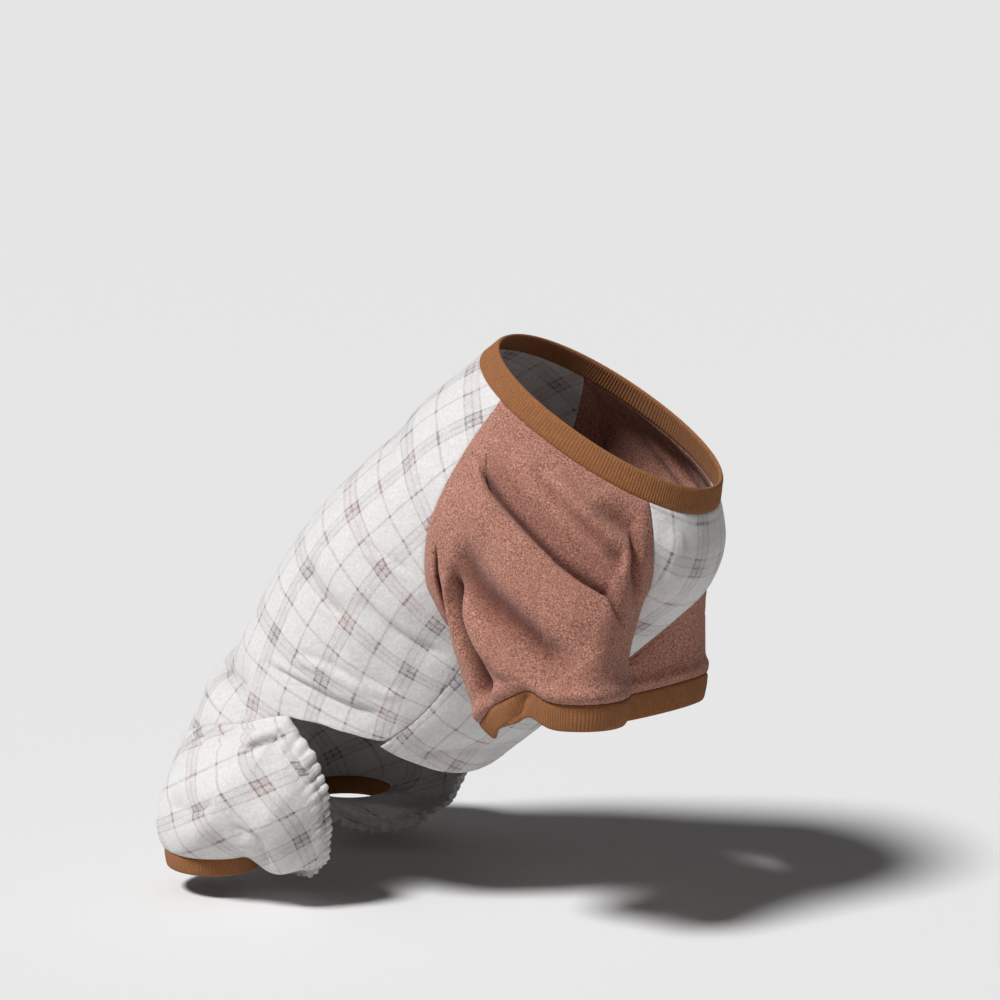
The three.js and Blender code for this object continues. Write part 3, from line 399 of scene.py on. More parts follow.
def clear_of_torso(point, side, clearance):
    """Moves points out sideways, where they need it, so that they keep clear of the torso."""
    x, y, z = point[..., 0], point[..., 1], point[..., 2]

    def above(station):
        bx, bz, fx, fz = torso_ends(station)
        return (fx - bx) * (z - bz) - (fz - bz) * (x - bx)

    low, high = np.zeros(x.shape), np.full(x.shape, BELLY_HEM)
    beyond = (above(low) > 0) | (above(high) < 0)
    for _ in range(HALVINGS):
        middle = (low + high) / 2
        over = above(middle) > 0
        high = np.where(over, middle, high)
        low = np.where(over, low, middle)
    bx, bz, fx, fz = torso_ends(low)
    depth = (bx - fx) ** 2 + (bz - fz) ** 2
    c = 2 * ((x - (bx + fx) / 2) * (bx - fx) + (z - (bz + fz) / 2) * (bz - fz)) / depth
    beyond |= np.abs(c) >= 1
    c = np.clip(c, -0.9999, 0.9999)
    square = torso_column("square", low)
    s = np.sqrt(1 - np.abs(c) ** (2 / square)) ** square
    limit = torso_column("width", low) * CHEST_WIDTH / 2 * s * egg_shape(torso_column("egg", low), c)
    limit += clearance
    out = side * y
    spare = np.sqrt((out - limit) ** 2 + SLEEVE_CLEAR**2)
    moved = side * ((out + limit + spare) / 2 - SLEEVE_CLEAR / 4)
    return pack(x, np.where(beyond, y, moved), z)


def swell_at(rows, turn, size, side):
    """A column's swell from a table of turn, ahead, out and down."""
    table = np.array(rows, float)
    wrapped = (turn - table[0, 0]) % 360 + table[0, 0]
    i = np.clip(np.searchsorted(table[:, 0], wrapped) - 1, 0, len(table) - 2)
    f = ease(wrapped, table[i, 0], table[i + 1, 0])[..., None]
    ahead, out, down = np.moveaxis(mix(table[i, 1:], table[i + 1, 1:], f) * size, -1, 0)
    return ahead, side * out, -down


def swollen(point, swell, v):
    fullness = 4 * v * (1 - v)
    ahead, out, up = swell
    wide, tall = fullness**SWELL_FULLNESS, fullness**SAG_FULLNESS
    return point + pack(ahead * wide, out * wide, up * tall)


def grid_normals(grid, ring, outward):
    """The directions straight out of a grid of points, rows by columns."""
    if ring:
        across = np.roll(grid, -1, axis=1) - np.roll(grid, 1, axis=1)
    else:
        across = np.gradient(grid, axis=1)
    return unit(np.cross(across, np.gradient(grid, axis=0))) * outward


def lengths(grid, axis):
    """How far each point of a grid is along its row or column, from its start."""
    step = np.linalg.norm(np.diff(grid, axis=axis), axis=-1)
    start = np.zeros_like(np.take(step, [0], axis=axis))
    return np.concatenate([start, np.cumsum(step, axis=axis)], axis=axis)


def places(low, high, length, fine_low=True, fine_high=True, pitch=PITCH):
    """Values from low to high, closer together near the ends that are edges.

    length is the stretch between them in millimetres.
    """
    first = [0.0] + (EDGE_STEPS if fine_low else [])
    last = [length - d for d in reversed(EDGE_STEPS)] if fine_high else []
    last.append(length)
    inner = np.linspace(first[-1], last[0], max(int((last[0] - first[-1]) / pitch), 2) + 1)[1:-1]
    return low + (high - low) * np.concatenate([first, inner, last]) / length


# Sleeve

def armhole_at(u):
    rear = UNDERARM * (1 - u / REAR_SHARE)
    front = UNDERARM * (1 - (1 - u) / FRONT_SHARE)
    neck = mix(NECK_FROM, NECK_TO, (u - REAR_SHARE) / NECK_SHARE)
    station = np.where(u < REAR_SHARE, rear, np.where(u > 1 - FRONT_SHARE, front, 0))
    angle = np.where(
        u < REAR_SHARE,
        seam_angle(REAR_RAGLAN, rear),
        np.where(u > 1 - FRONT_SHARE, seam_angle(FRONT_RAGLAN, front), neck),
    )
    return station, angle


def sleeve_turn(u):
    rear = mix(UNDERARM_TURN, REAR_CORNER_TURN, u / REAR_SHARE)
    front = mix(UNDERARM_TURN - 360, FRONT_CORNER_TURN, (1 - u) / FRONT_SHARE)
    neck = mix(REAR_CORNER_TURN, FRONT_CORNER_TURN, (u - REAR_SHARE) / NECK_SHARE)
    return np.where(u < REAR_SHARE, rear, np.where(u > 1 - FRONT_SHARE, front, neck))


def sleeve_ring(side, turn, t):
    """The end of a sleeve, an oval with a pinched rear corner.

    t goes from the sleeve's end to the cuff's free edge.
    """

    def bump(at):
        return np.exp(-((((turn - at["turn"] + 540) % 360 - 180) / at["spread"]) ** 2))

    slipped = 1 if side == LEFT else 0
    share = mix(1, LEFT_SHARE, slipped)
    pinch, crest = share * bump(PINCH), share * bump(CREST)
    reach = (1 - FRONT_CUFF_TAPER * t * t) * (1 + PINCH["out"] * (1 - t) * pinch - CREST["dent"] * crest)
    behind = -(SLEEVE_END_LONG / 2) * reach * np.cos(np.radians(turn))
    y = SLEEVE_SPREAD + SLEEVE_END_WIDE / 2 * reach * np.sin(np.radians(turn))
    drop = SLEEVE_DROP + slipped * (SLEEVE_SLIP + SLEEVE_TIP * behind) + FRONT_CUFF * t
    sag = PINCH["sag"] * (1 - PINCH["loosen"] * t) * pinch - CREST["rise"] * crest
    point = pack(SLEEVE_AHEAD - SLEEVE_LAG * slipped - behind, side * y, -drop - sag)
    return clear_of_torso(point, side, SLEEVE_CLEAR)


def sleeve_point(side, u, v):
    station, angle = armhole_at(u)
    turn = sleeve_turn(u)
    swell = swell_at(RIGHT_SWELL if side == RIGHT else LEFT_SWELL, turn, SHOULDER_SWELL, side)
    top, end = torso_point(station, -side * angle), sleeve_ring(side, turn, 0)
    point = swollen(mix(top, end, v[..., None]), swell, v)
    settled = clear_of_torso(point, side, SLEEVE_CLEAR + ARMPIT_CLEAR * 4 * v * (1 - v))
    return mix(point, settled, (ease(v, 0, 0.08) * ease(1 - v, 0, 0.08))[..., None])


# Hind leg

def leg_opening(side, u):
    station = mix(FLANK, TAIL_HEM, np.clip(u / SEAM_SHARE, 0, 1))
    sewn = torso_point(station, -side * seam_angle(BACK_EDGE, station))
    ends = np.array([TAIL_HEM, FLANK], float)
    tail, flank = torso_point(ends, -side * seam_angle(BACK_EDGE, ends))
    corners = np.array(FREE_EDGE) * [TORSO_RUN, side * ANKLE_SPREAD, ANKLE_DROP]
    line = np.vstack([tail, corners, flank])
    place = np.clip((u - SEAM_SHARE) / (1 - SEAM_SHARE), 0, 1) * (len(line) - 1)
    free = pack(*(through(line[:, axis], place) for axis in range(3)))
    return np.where((u <= SEAM_SHARE)[..., None], sewn, free)


def ankle_ring(side, turn, tuck, extra_drop):
    x = -ANKLE_BEHIND + (ANKLE_LONG / 2 - tuck) * np.cos(np.radians(turn))
    y = ANKLE_SPREAD + (ANKLE_WIDE / 2 - tuck) * np.sin(np.radians(turn))
    return pack(x, side * y, -ANKLE_DROP - extra_drop)


def ankle_turn(u):
    free = mix(TAIL_TURN, FLANK_TURN + 360, (u - SEAM_SHARE) / (1 - SEAM_SHARE))
    return np.where(u <= SEAM_SHARE, mix(FLANK_TURN, TAIL_TURN, u / SEAM_SHARE), free)


def leg_point(side, u, v):
    turn = ankle_turn(u)
    swell = swell_at(LEG_SWELL, turn, THIGH_SWELL, side)
    return swollen(mix(leg_opening(side, u), ankle_ring(side, turn, 0, 0), v[..., None]), swell, v)


# Shells

def roll(distance):
    """Share of the full thickness at a distance from a seam."""
    f = np.clip(distance / SEAM_ROLL, 0, 1)
    return SEAM_EDGE + (1 - SEAM_EDGE) * np.sqrt(1 - (1 - f) ** 2)


def hem(distance):
    """Extra thickness of a turned hem, with its line of stitches, at a distance from the free edge."""
    turned = HEM_PLUS * (1 - ease(distance, HEM - 0.5, HEM + 1.5))
    return turned - STITCH_DEPTH * np.exp(-(((distance - HEM + 2.2) / 0.9) ** 2))


def rounded(distance, thickness):
    """Share of the full thickness near a free edge."""
    f = np.clip(distance / thickness, 0, 1)
    return 0.3 + 0.7 * np.sqrt(1 - (1 - f) ** 2)


def shell(name, grid, outer, inner, ring, outward, cloth, painted_shade, material, node):
    """A closed skin round a grid of points on the cloth's middle surface.

    outer and inner are its thickness on either side. cloth holds places on the plaid; the argument after it
    holds the painted shade of each point, a darkening of its colour in the cloth's hollows.
    """
    rows, columns = grid.shape[:2]
    normals = grid_normals(grid, ring, outward)
    points = np.concatenate([
        (grid + normals * outer[..., None]).reshape(-1, 3),
        (grid - normals * inner[..., None]).reshape(-1, 3),
    ])
    cells = columns if ring else columns - 1
    j, i = np.meshgrid(np.arange(rows - 1), np.arange(cells), indexing="ij")
    a = (j * columns + i).ravel()
    b = (j * columns + (i + 1) % columns).ravel()
    below = rows * columns
    faces = [
        np.stack([a, b, b + columns, a + columns], 1),
        np.stack([a, a + columns, b + columns, b], 1) + below,
    ]
    i = np.arange(cells)
    a, b = i, (i + 1) % columns
    c, d = a + (rows - 1) * columns, b + (rows - 1) * columns
    faces += [np.stack([a + below, b + below, b, a], 1), np.stack([c, d, d + below, c + below], 1)]
    if not ring:
        a, b = np.arange(rows - 1) * columns, np.arange(1, rows) * columns
        c, d = a + columns - 1, b + columns - 1
        faces += [np.stack([a, b, b + below, a + below], 1), np.stack([c + below, d + below, d, c], 1)]
    quads = np.concatenate(faces)
    if outward < 0:
        quads = quads[:, ::-1]
    mesh = bpy.data.meshes.new(name)
    mesh.from_pydata((points * MM).tolist(), [], quads.tolist())
    mesh.polygons.foreach_set("use_smooth", np.ones(len(quads), bool))
    if cloth is not None:
        corners = np.empty(len(quads) * 4, np.int32)
        mesh.loops.foreach_get("vertex_index", corners)
        both = np.concatenate([cloth.reshape(-1, 2)] * 2)
        spread = both[corners].reshape(-1, 4, 2)
        jump = spread[:, :1] - spread
        spread = np.where(np.abs(jump).max(axis=2, keepdims=True) > WIDE_JUMP, spread + jump, spread)
        layer = mesh.uv_layers.new(name="Cloth")
        layer.data.foreach_set("uv", spread.astype(np.float32).ravel())
    # The painted shade goes on the points as an attribute, which the materials read to darken the colour in
    # hollows.
    if painted_shade is not None:
        layer = mesh.attributes.new("PaintedShade", "FLOAT", "POINT")
        layer.data.foreach_set("value", np.concatenate([painted_shade.ravel()] * 2).astype(np.float32))
    mesh.materials.append(material)
    mesh.update()
    piece = bpy.data.objects.new(name, mesh)
    bpy.context.scene.collection.objects.link(piece)
    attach(piece, "root")
    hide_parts(node)
    return piece


def painted_shade_in(lift, depth):
    """Painted shade in a hollow of the cloth, from 0 to 1 at that depth: the deeper the hollow, the darker
    its colour is painted.
    """
    return np.clip(-lift / depth, 0, 1)


def displaced(grid, lift, ring, outward):
    return grid + grid_normals(grid, ring, outward) * lift[..., None]


def crumple(grid, seed, size=1.0):
    """Small unevenness of soft cloth, in millimetres."""
    (slow_size, slow), (ridge_size, ridge), (fine_size, fine) = CRUMPLE
    total = noise(grid, slow_size, seed) * slow
    total = total + ridges(grid * [1.0, 1.0, 0.7], ridge_size, seed + 1) * ridge
    total = total + noise(grid, fine_size, seed + 2) * fine
    return size * total


def pucker(distance, along, seed):
    """Small ripples that run out from a seam."""
    wave = np.sin(along / PUCKER["pitch"] * 2 * np.pi + 1.5 * np.sin(along / PUCKER["drift"] + seed))
    return PUCKER["lift"] * wave * np.exp(-distance / PUCKER["reach"])


# Panels

PLAID_REPEAT = 70.0
# Turn forward and down, and a start, into repeats across and along a leg's slanting cloth.
LEG_WARP = (0.77, -1.06, 4.51)
LEG_WEFT = (0.46, 0.79, -3.6)
LEG_CLOTH_JOIN = 0.62  # share of the way round where the leg's cloth meets itself
WIDE_JUMP = 2.0  # a face whose corners are further apart on the cloth, in repeats, spans that join


def from_middle(grid):
    """Lengths over a panel from its middle column, in repeats of the plaid."""
    across = lengths(grid, 1)
    return (across - across[:, [grid.shape[1] // 2]]) / PLAID_REPEAT


def back_cloth(grid, station, angle):
    """Places on the back's cloth, in repeats of the plaid.

    The cloth bends over the shoulders and swings to the rump.
    """
    stations = np.linspace(0, TAIL_HEM, 160)
    angles = np.linspace(-130, 130, 53)
    ruled = lengths(torso_point(*np.broadcast_arrays(stations[:, None], angles[None, :])), 0) / PLAID_REPEAT
    row = station / TAIL_HEM * (len(stations) - 1)
    column = (angle + 130) / 260 * (len(angles) - 1)
    j = np.clip(np.floor(row), 0, len(stations) - 2).astype(int)
    i = np.clip(np.floor(column), 0, len(angles) - 2).astype(int)
    fj, fi = row - j, column - i
    along = mix(mix(ruled[j, i], ruled[j, i + 1], fi), mix(ruled[j + 1, i], ruled[j + 1, i + 1], fi), fj)
    across = from_middle(grid)
    swing = 0.043 * (along - 1.5) ** 2 * np.tanh(across / 0.8)
    return np.stack([
        -1.59 + 1.065 * across - swing,
        -1.027 + 0.913 * along + (0.037 * along - 0.157) * across**2,
    ], -1)


def belly_cloth(grid):
    """Places on the cloth of the breast and belly, in repeats of the plaid."""
    across = from_middle(grid)
    along = lengths(grid, 0)[:, [grid.shape[1] // 2]] / PLAID_REPEAT + 0 * across
    swing = 0.42 * np.tanh((along - 0.66) / 2.2)
    return np.stack([(across + 0.324 + swing) / 0.975, (along - 0.66 + 0.1 * across**2) / 1.07], -1)


def leg_cloth(grid, u):
    """Places on a hind leg's cloth, which is cut on the slant, in repeats of the plaid."""
    across = lengths(grid, 1)
    whole = across[:, -1:] + np.linalg.norm(grid[:, :1] - grid[:, -1:], axis=-1)
    ahead = -np.where(u > LEG_CLOTH_JOIN, across - whole, across) / PLAID_REPEAT
    down = -grid[..., 2] / PLAID_REPEAT
    return np.stack([along * ahead + fall * down + start for along, fall, start in (LEG_WARP, LEG_WEFT)], -1)


def back_panel(material):
    stations = np.concatenate([
        places(0, UNDERARM, BACK_LONG[0], fine_high=False)[:-1],
        places(UNDERARM, FLANK, BACK_LONG[1], fine_low=False, fine_high=False)[:-1],
        places(FLANK, TAIL_HEM, BACK_LONG[2], fine_low=False),
    ])
    shares = places(-1, 1, BACK_ROUND)
    edge = np.where(
        stations < UNDERARM, seam_angle(REAR_RAGLAN, stations), seam_angle(BACK_EDGE, stations)
    )
    station, angle = np.broadcast_arrays(stations[:, None], edge[:, None] * shares[None, :])
    grid = torso_point(station, angle)
    across = lengths(grid, 1)
    side = np.minimum(across, across[:, -1:] - across)
    top, total = lengths(grid, 0), lengths(grid, 0)[-1:]
    bottom = total - top
    sharp = creases(TORSO_FOLDS, TORSO_SPAN, angle, station)
    calm = ease(np.minimum(np.minimum(side, top), bottom), 0, BACK_CALM)
    ripple = pucker(side, top, 1) * ease(side, 0, 2) + pucker(top, across, 2) * ease(top, 0, 2)
    # painted shade: the colour is darkened in the folds' hollows, where their shadow falls
    painted_shade = painted_shade_in(fold_lift(TORSO_FOLDS, TORSO_SPAN, angle, station, 1.0) * calm, FLEECE_SHADE_DEPTH)
    grid = displaced(grid, (sharp + crumple(grid, SEED["back"])) * calm + ripple, False, -1)
    free = ease(station, BELLY_CORNER - 0.1, BELLY_CORNER + 0.1) * ease(-station, -FLANK - 0.1, -FLANK + 0.1)
    sewn = mix(roll(side), rounded(side, FLEECE), free) * roll(top) * rounded(bottom, FLEECE)
    outer = (FLEECE / 2 + LOFT) * sewn + hem(bottom) + hem(side) * free
    inner = FLEECE / 2 * sewn
    cloth = back_cloth(grid, station, angle)
    shell("plaid_back", grid, outer, inner, False, -1, cloth, painted_shade, material, "back_panel")


def belly_panel(material):
    stations = np.concatenate([
        places(0, UNDERARM, BELLY_LONG[0], fine_high=False)[:-1],
        places(UNDERARM, BELLY_HEM, BELLY_LONG[1], fine_low=False),
    ])
    shares = places(0, 1, BELLY_ROUND)
    held = np.minimum(stations, BELLY_CORNER)
    edge = np.where(stations < UNDERARM, seam_angle(FRONT_RAGLAN, stations), seam_angle(BACK_EDGE, held))
    station, angle = np.broadcast_arrays(
        stations[:, None], edge[:, None] + (360 - 2 * edge[:, None]) * shares[None, :]
    )
    grid = torso_point(station, angle)
    across = lengths(grid, 1)
    side = np.minimum(across, across[:, -1:] - across)
    top, total = lengths(grid, 0), lengths(grid, 0)[-1:]
    bottom = total - top
    turned = (angle + 180) % 360 - 180
    sharp = creases(TORSO_FOLDS, TORSO_SPAN, turned, station)
    calm = ease(np.minimum(np.minimum(side, top), bottom), 0, BELLY_CALM)
    ripple = pucker(side, top, 3) * ease(side, 0, 2) + pucker(top, across, 4) * ease(top, 0, 2)
    # painted shade: the colour is darkened in the folds' hollows, where their shadow falls
    painted_shade = painted_shade_in(fold_lift(TORSO_FOLDS, TORSO_SPAN, turned, station, 1.0) * calm, FLEECE_SHADE_DEPTH)
    grid = displaced(grid, (sharp + crumple(grid, SEED["belly"], 0.8)) * calm + ripple, False, -1)
    free = ease(station, BELLY_CORNER - 0.1, BELLY_CORNER + 0.1)
    sewn = mix(roll(side), rounded(side, FLEECE), free) * roll(top) * rounded(bottom, FLEECE)
    outer = (FLEECE / 2 + LOFT) * sewn + hem(bottom)
    inner = FLEECE / 2 * sewn
    cloth = belly_cloth(grid)
    shell("plaid_belly", grid, outer, inner, False, -1, cloth, painted_shade, material, "belly_panel")


def sleeve(side, material):
    seam, neck = SLEEVE_ROUND
    columns = np.concatenate([
        places(0, REAR_SHARE, seam, False, False, SLEEVE_PITCH)[:-1],
        places(REAR_SHARE, 1 - FRONT_SHARE, neck, False, False, SLEEVE_PITCH)[:-1],
        places(1 - FRONT_SHARE, 1, seam, False, False, SLEEVE_PITCH)[:-1],
    ])
    u, v = np.broadcast_arrays(columns[None, :], places(0, 1, SLEEVE_LONG, pitch=SLEEVE_PITCH)[:, None])
    grid = sleeve_point(side, u, v)
    fade = ease(1 - v, 0, 0.1) * ease(v, 0, 0.03)
    share = 1 if side == RIGHT else LEFT_FOLDS
    soft = fold_lift(SLEEVE_FOLDS, SLEEVE_SPAN, u, v) * (fade * share)
    grid = displaced(grid, soft, True, side)
    top, total = lengths(grid, 0), lengths(grid, 0)[-1:]
    bottom = total - top
    sharp = creases(SLEEVE_FOLDS, SLEEVE_SPAN, u, v) * share
    calm = ease(top, 0, SLEEVE_CALM) * ease(bottom, 0, CUFF_CALM)
    around = u * SLEEVE_SPAN[0]
    ripple = pucker(top, around, 5) * ease(top, 0, 2) + 2.0 * pucker(bottom, around, 6) * ease(bottom, 0, 2)
    puff = np.exp(-(((bottom - 8) / 6) ** 2)) * (1 + 0.35 * np.sin(around / 21))
    ripple += OVERHANG * puff * ease(bottom, 0, 3)
    # painted shade: the colour is darkened in the folds' hollows, where their shadow falls
    painted_shade = painted_shade_in(soft + sharp * calm, SLEEVE_SHADE_DEPTH)
    grid = displaced(grid, (sharp + crumple(grid, SEED["sleeve"], 1.1)) * calm + ripple, True, side)
    sewn = roll(top) * roll(bottom)
    outer, inner = (SLEEVE_CLOTH / 2 + LOFT) * sewn, SLEEVE_CLOTH / 2 * sewn
    shell(f"sleeve_cloth_{SIDE_NAME[side]}", grid, outer, inner, True, side, None, painted_shade, material,
          f"sleeve_{SIDE_NAME[side]}")


def leg(side, material):
    columns = np.concatenate([
        places(0, SEAM_SHARE, LEG_ROUND[0], False, False)[:-1],
        places(SEAM_SHARE, 1, LEG_ROUND[1], False, False, pitch=FREE_EDGE_PITCH)[:-1],
    ])
    u, v = np.broadcast_arrays(columns[None, :], places(0, 1, LEG_LONG, pitch=LEG_PITCH)[:, None])
    grid = leg_point(side, u, v)
    share = (u - SEAM_SHARE) / (1 - SEAM_SHARE)
    ends = np.where(share > 0, ease(share, 0, 0.08) * ease(1 - share, 0, 0.08), 0)
    gathers = GATHER_LIFT * ends * np.cos(2 * np.pi * GATHERS * share) * np.exp(-v / GATHER_REACH)
    soft = fold_lift(LEG_FOLDS, LEG_SPAN, u, v) * ease(1 - v, 0, 0.05) * ease(v, 0, 0.04)
    grid = displaced(displaced(grid, soft, True, -side), gathers, True, -side)
    top, total = lengths(grid, 0), lengths(grid, 0)[-1:]
    bottom = total - top
    tucks = ends * np.cos(2 * np.pi * TUCKS * (share + 0.01 * np.sin(17 * share)))
    tucks = TUCK_LIFT * tucks * np.exp(-((top / 16) ** 2))
    tunnel = ends * (1.6 * np.exp(-(((top - 15) / 6) ** 2)) - 1.0 * np.exp(-(((top - ELASTIC) / 2) ** 2)))
    seamed = 1 - ends
    lip = seamed * (2.8 * np.exp(-(((top - 5.5) / 3.5) ** 2)) - 2.4 * np.exp(-(((top - 12.5) / 3) ** 2)))
    sharp = creases(LEG_FOLDS, LEG_SPAN, u, v)
    calm = ease(top, 0, LEG_CALM) * ease(bottom, 0, CUFF_CALM)
    ripple = 1.8 * pucker(bottom, u * LEG_SPAN[0], 7) * ease(bottom, 0, 2)
    seed = SEED[f"leg_{SIDE_NAME[side]}"]
    lip = lip * ease(top, 0, 3)
    # painted shade: the colour is darkened in the hollows of the folds, tucks and lip, where their shadow
    # falls
    painted_shade = painted_shade_in(fold_lift(LEG_FOLDS, LEG_SPAN, u, v, 1.0) * calm + tucks + lip, FLEECE_SHADE_DEPTH)
    lift = (sharp + crumple(grid, seed, 1.1)) * calm + tucks + tunnel + lip + ripple
    grid = displaced(grid, lift, True, -side)
    sewn = mix(roll(top), rounded(top, FLEECE), ends) * roll(bottom)
    outer, inner = (FLEECE / 2 + LOFT) * sewn, FLEECE / 2 * sewn
    shell(f"plaid_leg_{SIDE_NAME[side]}", grid, outer, inner, True, -side, leg_cloth(grid, u), painted_shade, material,
          f"hind_leg_{SIDE_NAME[side]}")


# Ribbing

def ribbing(name, ring_at, girth, height, outward, material, node):
    """A ribbed band. ring_at gives its middle surface for a share round and a share of its height."""
    ribs = int(girth / RIB_PITCH)
    share = np.arange(ribs * RIB_STEPS) / (ribs * RIB_STEPS)
    u, t = np.broadcast_arrays(share[None, :], places(0, 1, height, pitch=RIB_ROW)[:, None])
    grid = ring_at(u, t)
    down = t * height
    knit = np.abs(np.cos(np.pi * ribs * u)) ** 0.7 - 0.5
    sewn, edge = roll(down), rounded(height - down, RIB)
    wobble = 0.25 * noise(grid, 9, SEED["rib"])
    flat = ease(np.minimum(down, height - down), 0, RIB_START)
    outer = RIB / 2 * sewn * edge + (RIB_DEPTH * knit + wobble) * flat
    inner = RIB / 2 * sewn * edge + RIB_DEPTH * knit * flat
    shell(name, grid, outer, inner, True, outward, None, None, material, node)


def neck_band(material):
    axis = np.array([np.sin(np.radians(NECK_TILT)), 0, np.cos(np.radians(NECK_TILT))])

    def at(u, t):
        edge = torso_point(np.zeros(u.shape), -NECK_FROM + 360 * u)
        return edge * (1 - NECK_HUG * t[..., None]) + axis * NECK_BAND * t[..., None]

    ribbing("ribbing_neck", at, NECK_GIRTH, NECK_BAND, 1, material, "neck_band")


def front_cuff(side, material):
    def at(u, t):
        turn = sleeve_turn(u)
        ring = sleeve_ring(side, turn, t)
        apart = (turn - CUFF_CREASE["turn"] - CUFF_CREASE["lean"] * t + 540) % 360 - 180
        away = apart / CUFF_CREASE["spread"]
        dent = CUFF_CREASE["dent"] * np.exp(-(away**2))
        dent -= CUFF_CREASE["swell"] * np.exp(-((away - 3) ** 2) / 4)
        middle = np.array([SLEEVE_AHEAD, side * SLEEVE_SPREAD, 0])
        reach = (ring - middle) * [1, 1, 0]
        return ring - reach * (dent * ease(t, 0, 0.3) * (1 if side == RIGHT else 0))[..., None]

    name, node = f"ribbing_front_{SIDE_NAME[side]}", f"front_cuff_{SIDE_NAME[side]}"
    ribbing(name, at, FRONT_CUFF_GIRTH, FRONT_CUFF, side, material, node)


def hind_cuff(side, material):
    def at(u, t):
        return ankle_ring(side, 360 * u, CUFF_TUCK * t * t, HIND_CUFF * t)

    name, node = f"ribbing_hind_{SIDE_NAME[side]}", f"hind_cuff_{SIDE_NAME[side]}"
    ribbing(name, at, HIND_CUFF_GIRTH, HIND_CUFF, -side, material, node)


# Materials

class Nodes:
    """Short ways to add and join shader nodes."""

    def __init__(self, name):
        self.material = bpy.data.materials.new(name)
        self.material.use_nodes = True
        self.tree = self.material.node_tree
        self.tree.nodes.clear()
        self.object = self.add("ShaderNodeTexCoord").outputs["Object"]

    def add(self, kind, **settings):
        node = self.tree.nodes.new(kind)
        for key, value in settings.items():
            setattr(node, key, value)
        return node

    def feed(self, socket, value):
        if isinstance(value, bpy.types.NodeSocket):
            self.tree.links.new(value, socket)
        else:
            socket.default_value = value

    def math(self, operation, *values, clamp=False):
        node = self.add("ShaderNodeMath", operation=operation, use_clamp=clamp)
        for socket, value in zip(node.inputs, values):
            self.feed(socket, value)
        return node.outputs[0]

    def noise(self, size, detail=2.0, rough=0.5):
        """Noise with features of that size in millimetres."""
        node = self.add("ShaderNodeTexNoise")
        node.inputs["Scale"].default_value = 1 / (size * MM)
        node.inputs["Detail"].default_value = detail
        node.inputs["Roughness"].default_value = rough
        self.feed(node.inputs["Vector"], self.object)
        return node.outputs["Fac"]

    def ramp(self, value, stops):
        """A ramp of (place, colour or grey) stops."""
        node = self.add("ShaderNodeValToRGB")
        elements = node.color_ramp.elements
        while len(elements) < len(stops):
            elements.new(0.5)
        for element, (place, colour) in zip(elements, stops):
            element.position = place
            element.color = (*colour, 1) if isinstance(colour, tuple) else (colour, colour, colour, 1)
        self.feed(node.inputs["Fac"], value)
        return node.outputs["Color"]

    def blend(self, share, a, b):
        node = self.add("ShaderNodeMix", data_type="RGBA", blend_type="MIX")
        self.feed(node.inputs["Factor"], share)
        self.feed(node.inputs["A"], (*a, 1) if isinstance(a, tuple) else a)
        self.feed(node.inputs["B"], (*b, 1) if isinstance(b, tuple) else b)
        return node.outputs["Result"]

    def painted_hollow_shade(self, share):
        """Painted shade: the share of a darker colour blended in where the cloth bends into a hollow,
        standing in for the shadow there.
        """
        painted_shade = self.add("ShaderNodeAttribute", attribute_name="PaintedShade").outputs["Fac"]
        return self.math("MULTIPLY", painted_shade, share)

    def finish(self, colour, height, strength, distance, roughness, sheen):
        shader = self.add("ShaderNodeBsdfPrincipled")
        self.feed(shader.inputs["Base Color"], colour)
        shader.inputs["Roughness"].default_value = roughness
        shader.inputs["Sheen Weight"].default_value = sheen
        shader.inputs["Sheen Roughness"].default_value = 0.6
        shader.inputs["Specular IOR Level"].default_value = 0.15
        bump = self.add("ShaderNodeBump")
        bump.inputs["Strength"].default_value = strength
        bump.inputs["Distance"].default_value = distance * MM
        self.feed(bump.inputs["Height"], height)
        self.feed(shader.inputs["Normal"], bump.outputs["Normal"])
        output = self.add("ShaderNodeOutputMaterial")
        self.tree.links.new(shader.outputs["BSDF"], output.inputs["Surface"])
        return self.material


# The plaid's stripes by their place, from 0 at the middle of a band to 1 at the single line between bands.
STRIPES = [
    (0.0, 0.75), (0.018, 0.75), (0.04, 0.34), (0.16, 0.31), (0.182, 0.75), (0.212, 0.75), (0.24, 0.0),
    (0.945, 0.0), (0.975, 0.6), (1.0, 0.7),
]
PLAID_BASE = (0.72, 0.71, 0.70)
PLAID_SHADE = (0.60, 0.585, 0.58)
PLAID_GREY = (0.24, 0.225, 0.235)
PLAID_PINK = (0.33, 0.225, 0.22)
# colour of the painted shade in the plaid's hollows
PLAID_PAINTED_SHADE = (0.3, 0.28, 0.275)
PLAID_CROSSING = 1.6  # strength of the squares where stripes cross
PLAID_STRIPE = 0.52
PLAID_DRIFT = (45, 0.07)  # size, and strength in repeats, of the stripes' wander
SLEEVE_SPECK = [(0.34, (0.17, 0.074, 0.054)), (0.5, (0.40, 0.2, 0.152)), (0.66, (0.62, 0.35, 0.275))]
SLEEVE_EVEN = (0.41, 0.205, 0.153)
# colour of the painted shade in the sleeve cloth's hollows
SLEEVE_PAINTED_SHADE = (0.1, 0.032, 0.024)
RIB_YARN = [(0.3, (0.20, 0.086, 0.036)), (0.7, (0.40, 0.19, 0.088))]
RIB_EVEN = (0.29, 0.134, 0.059)


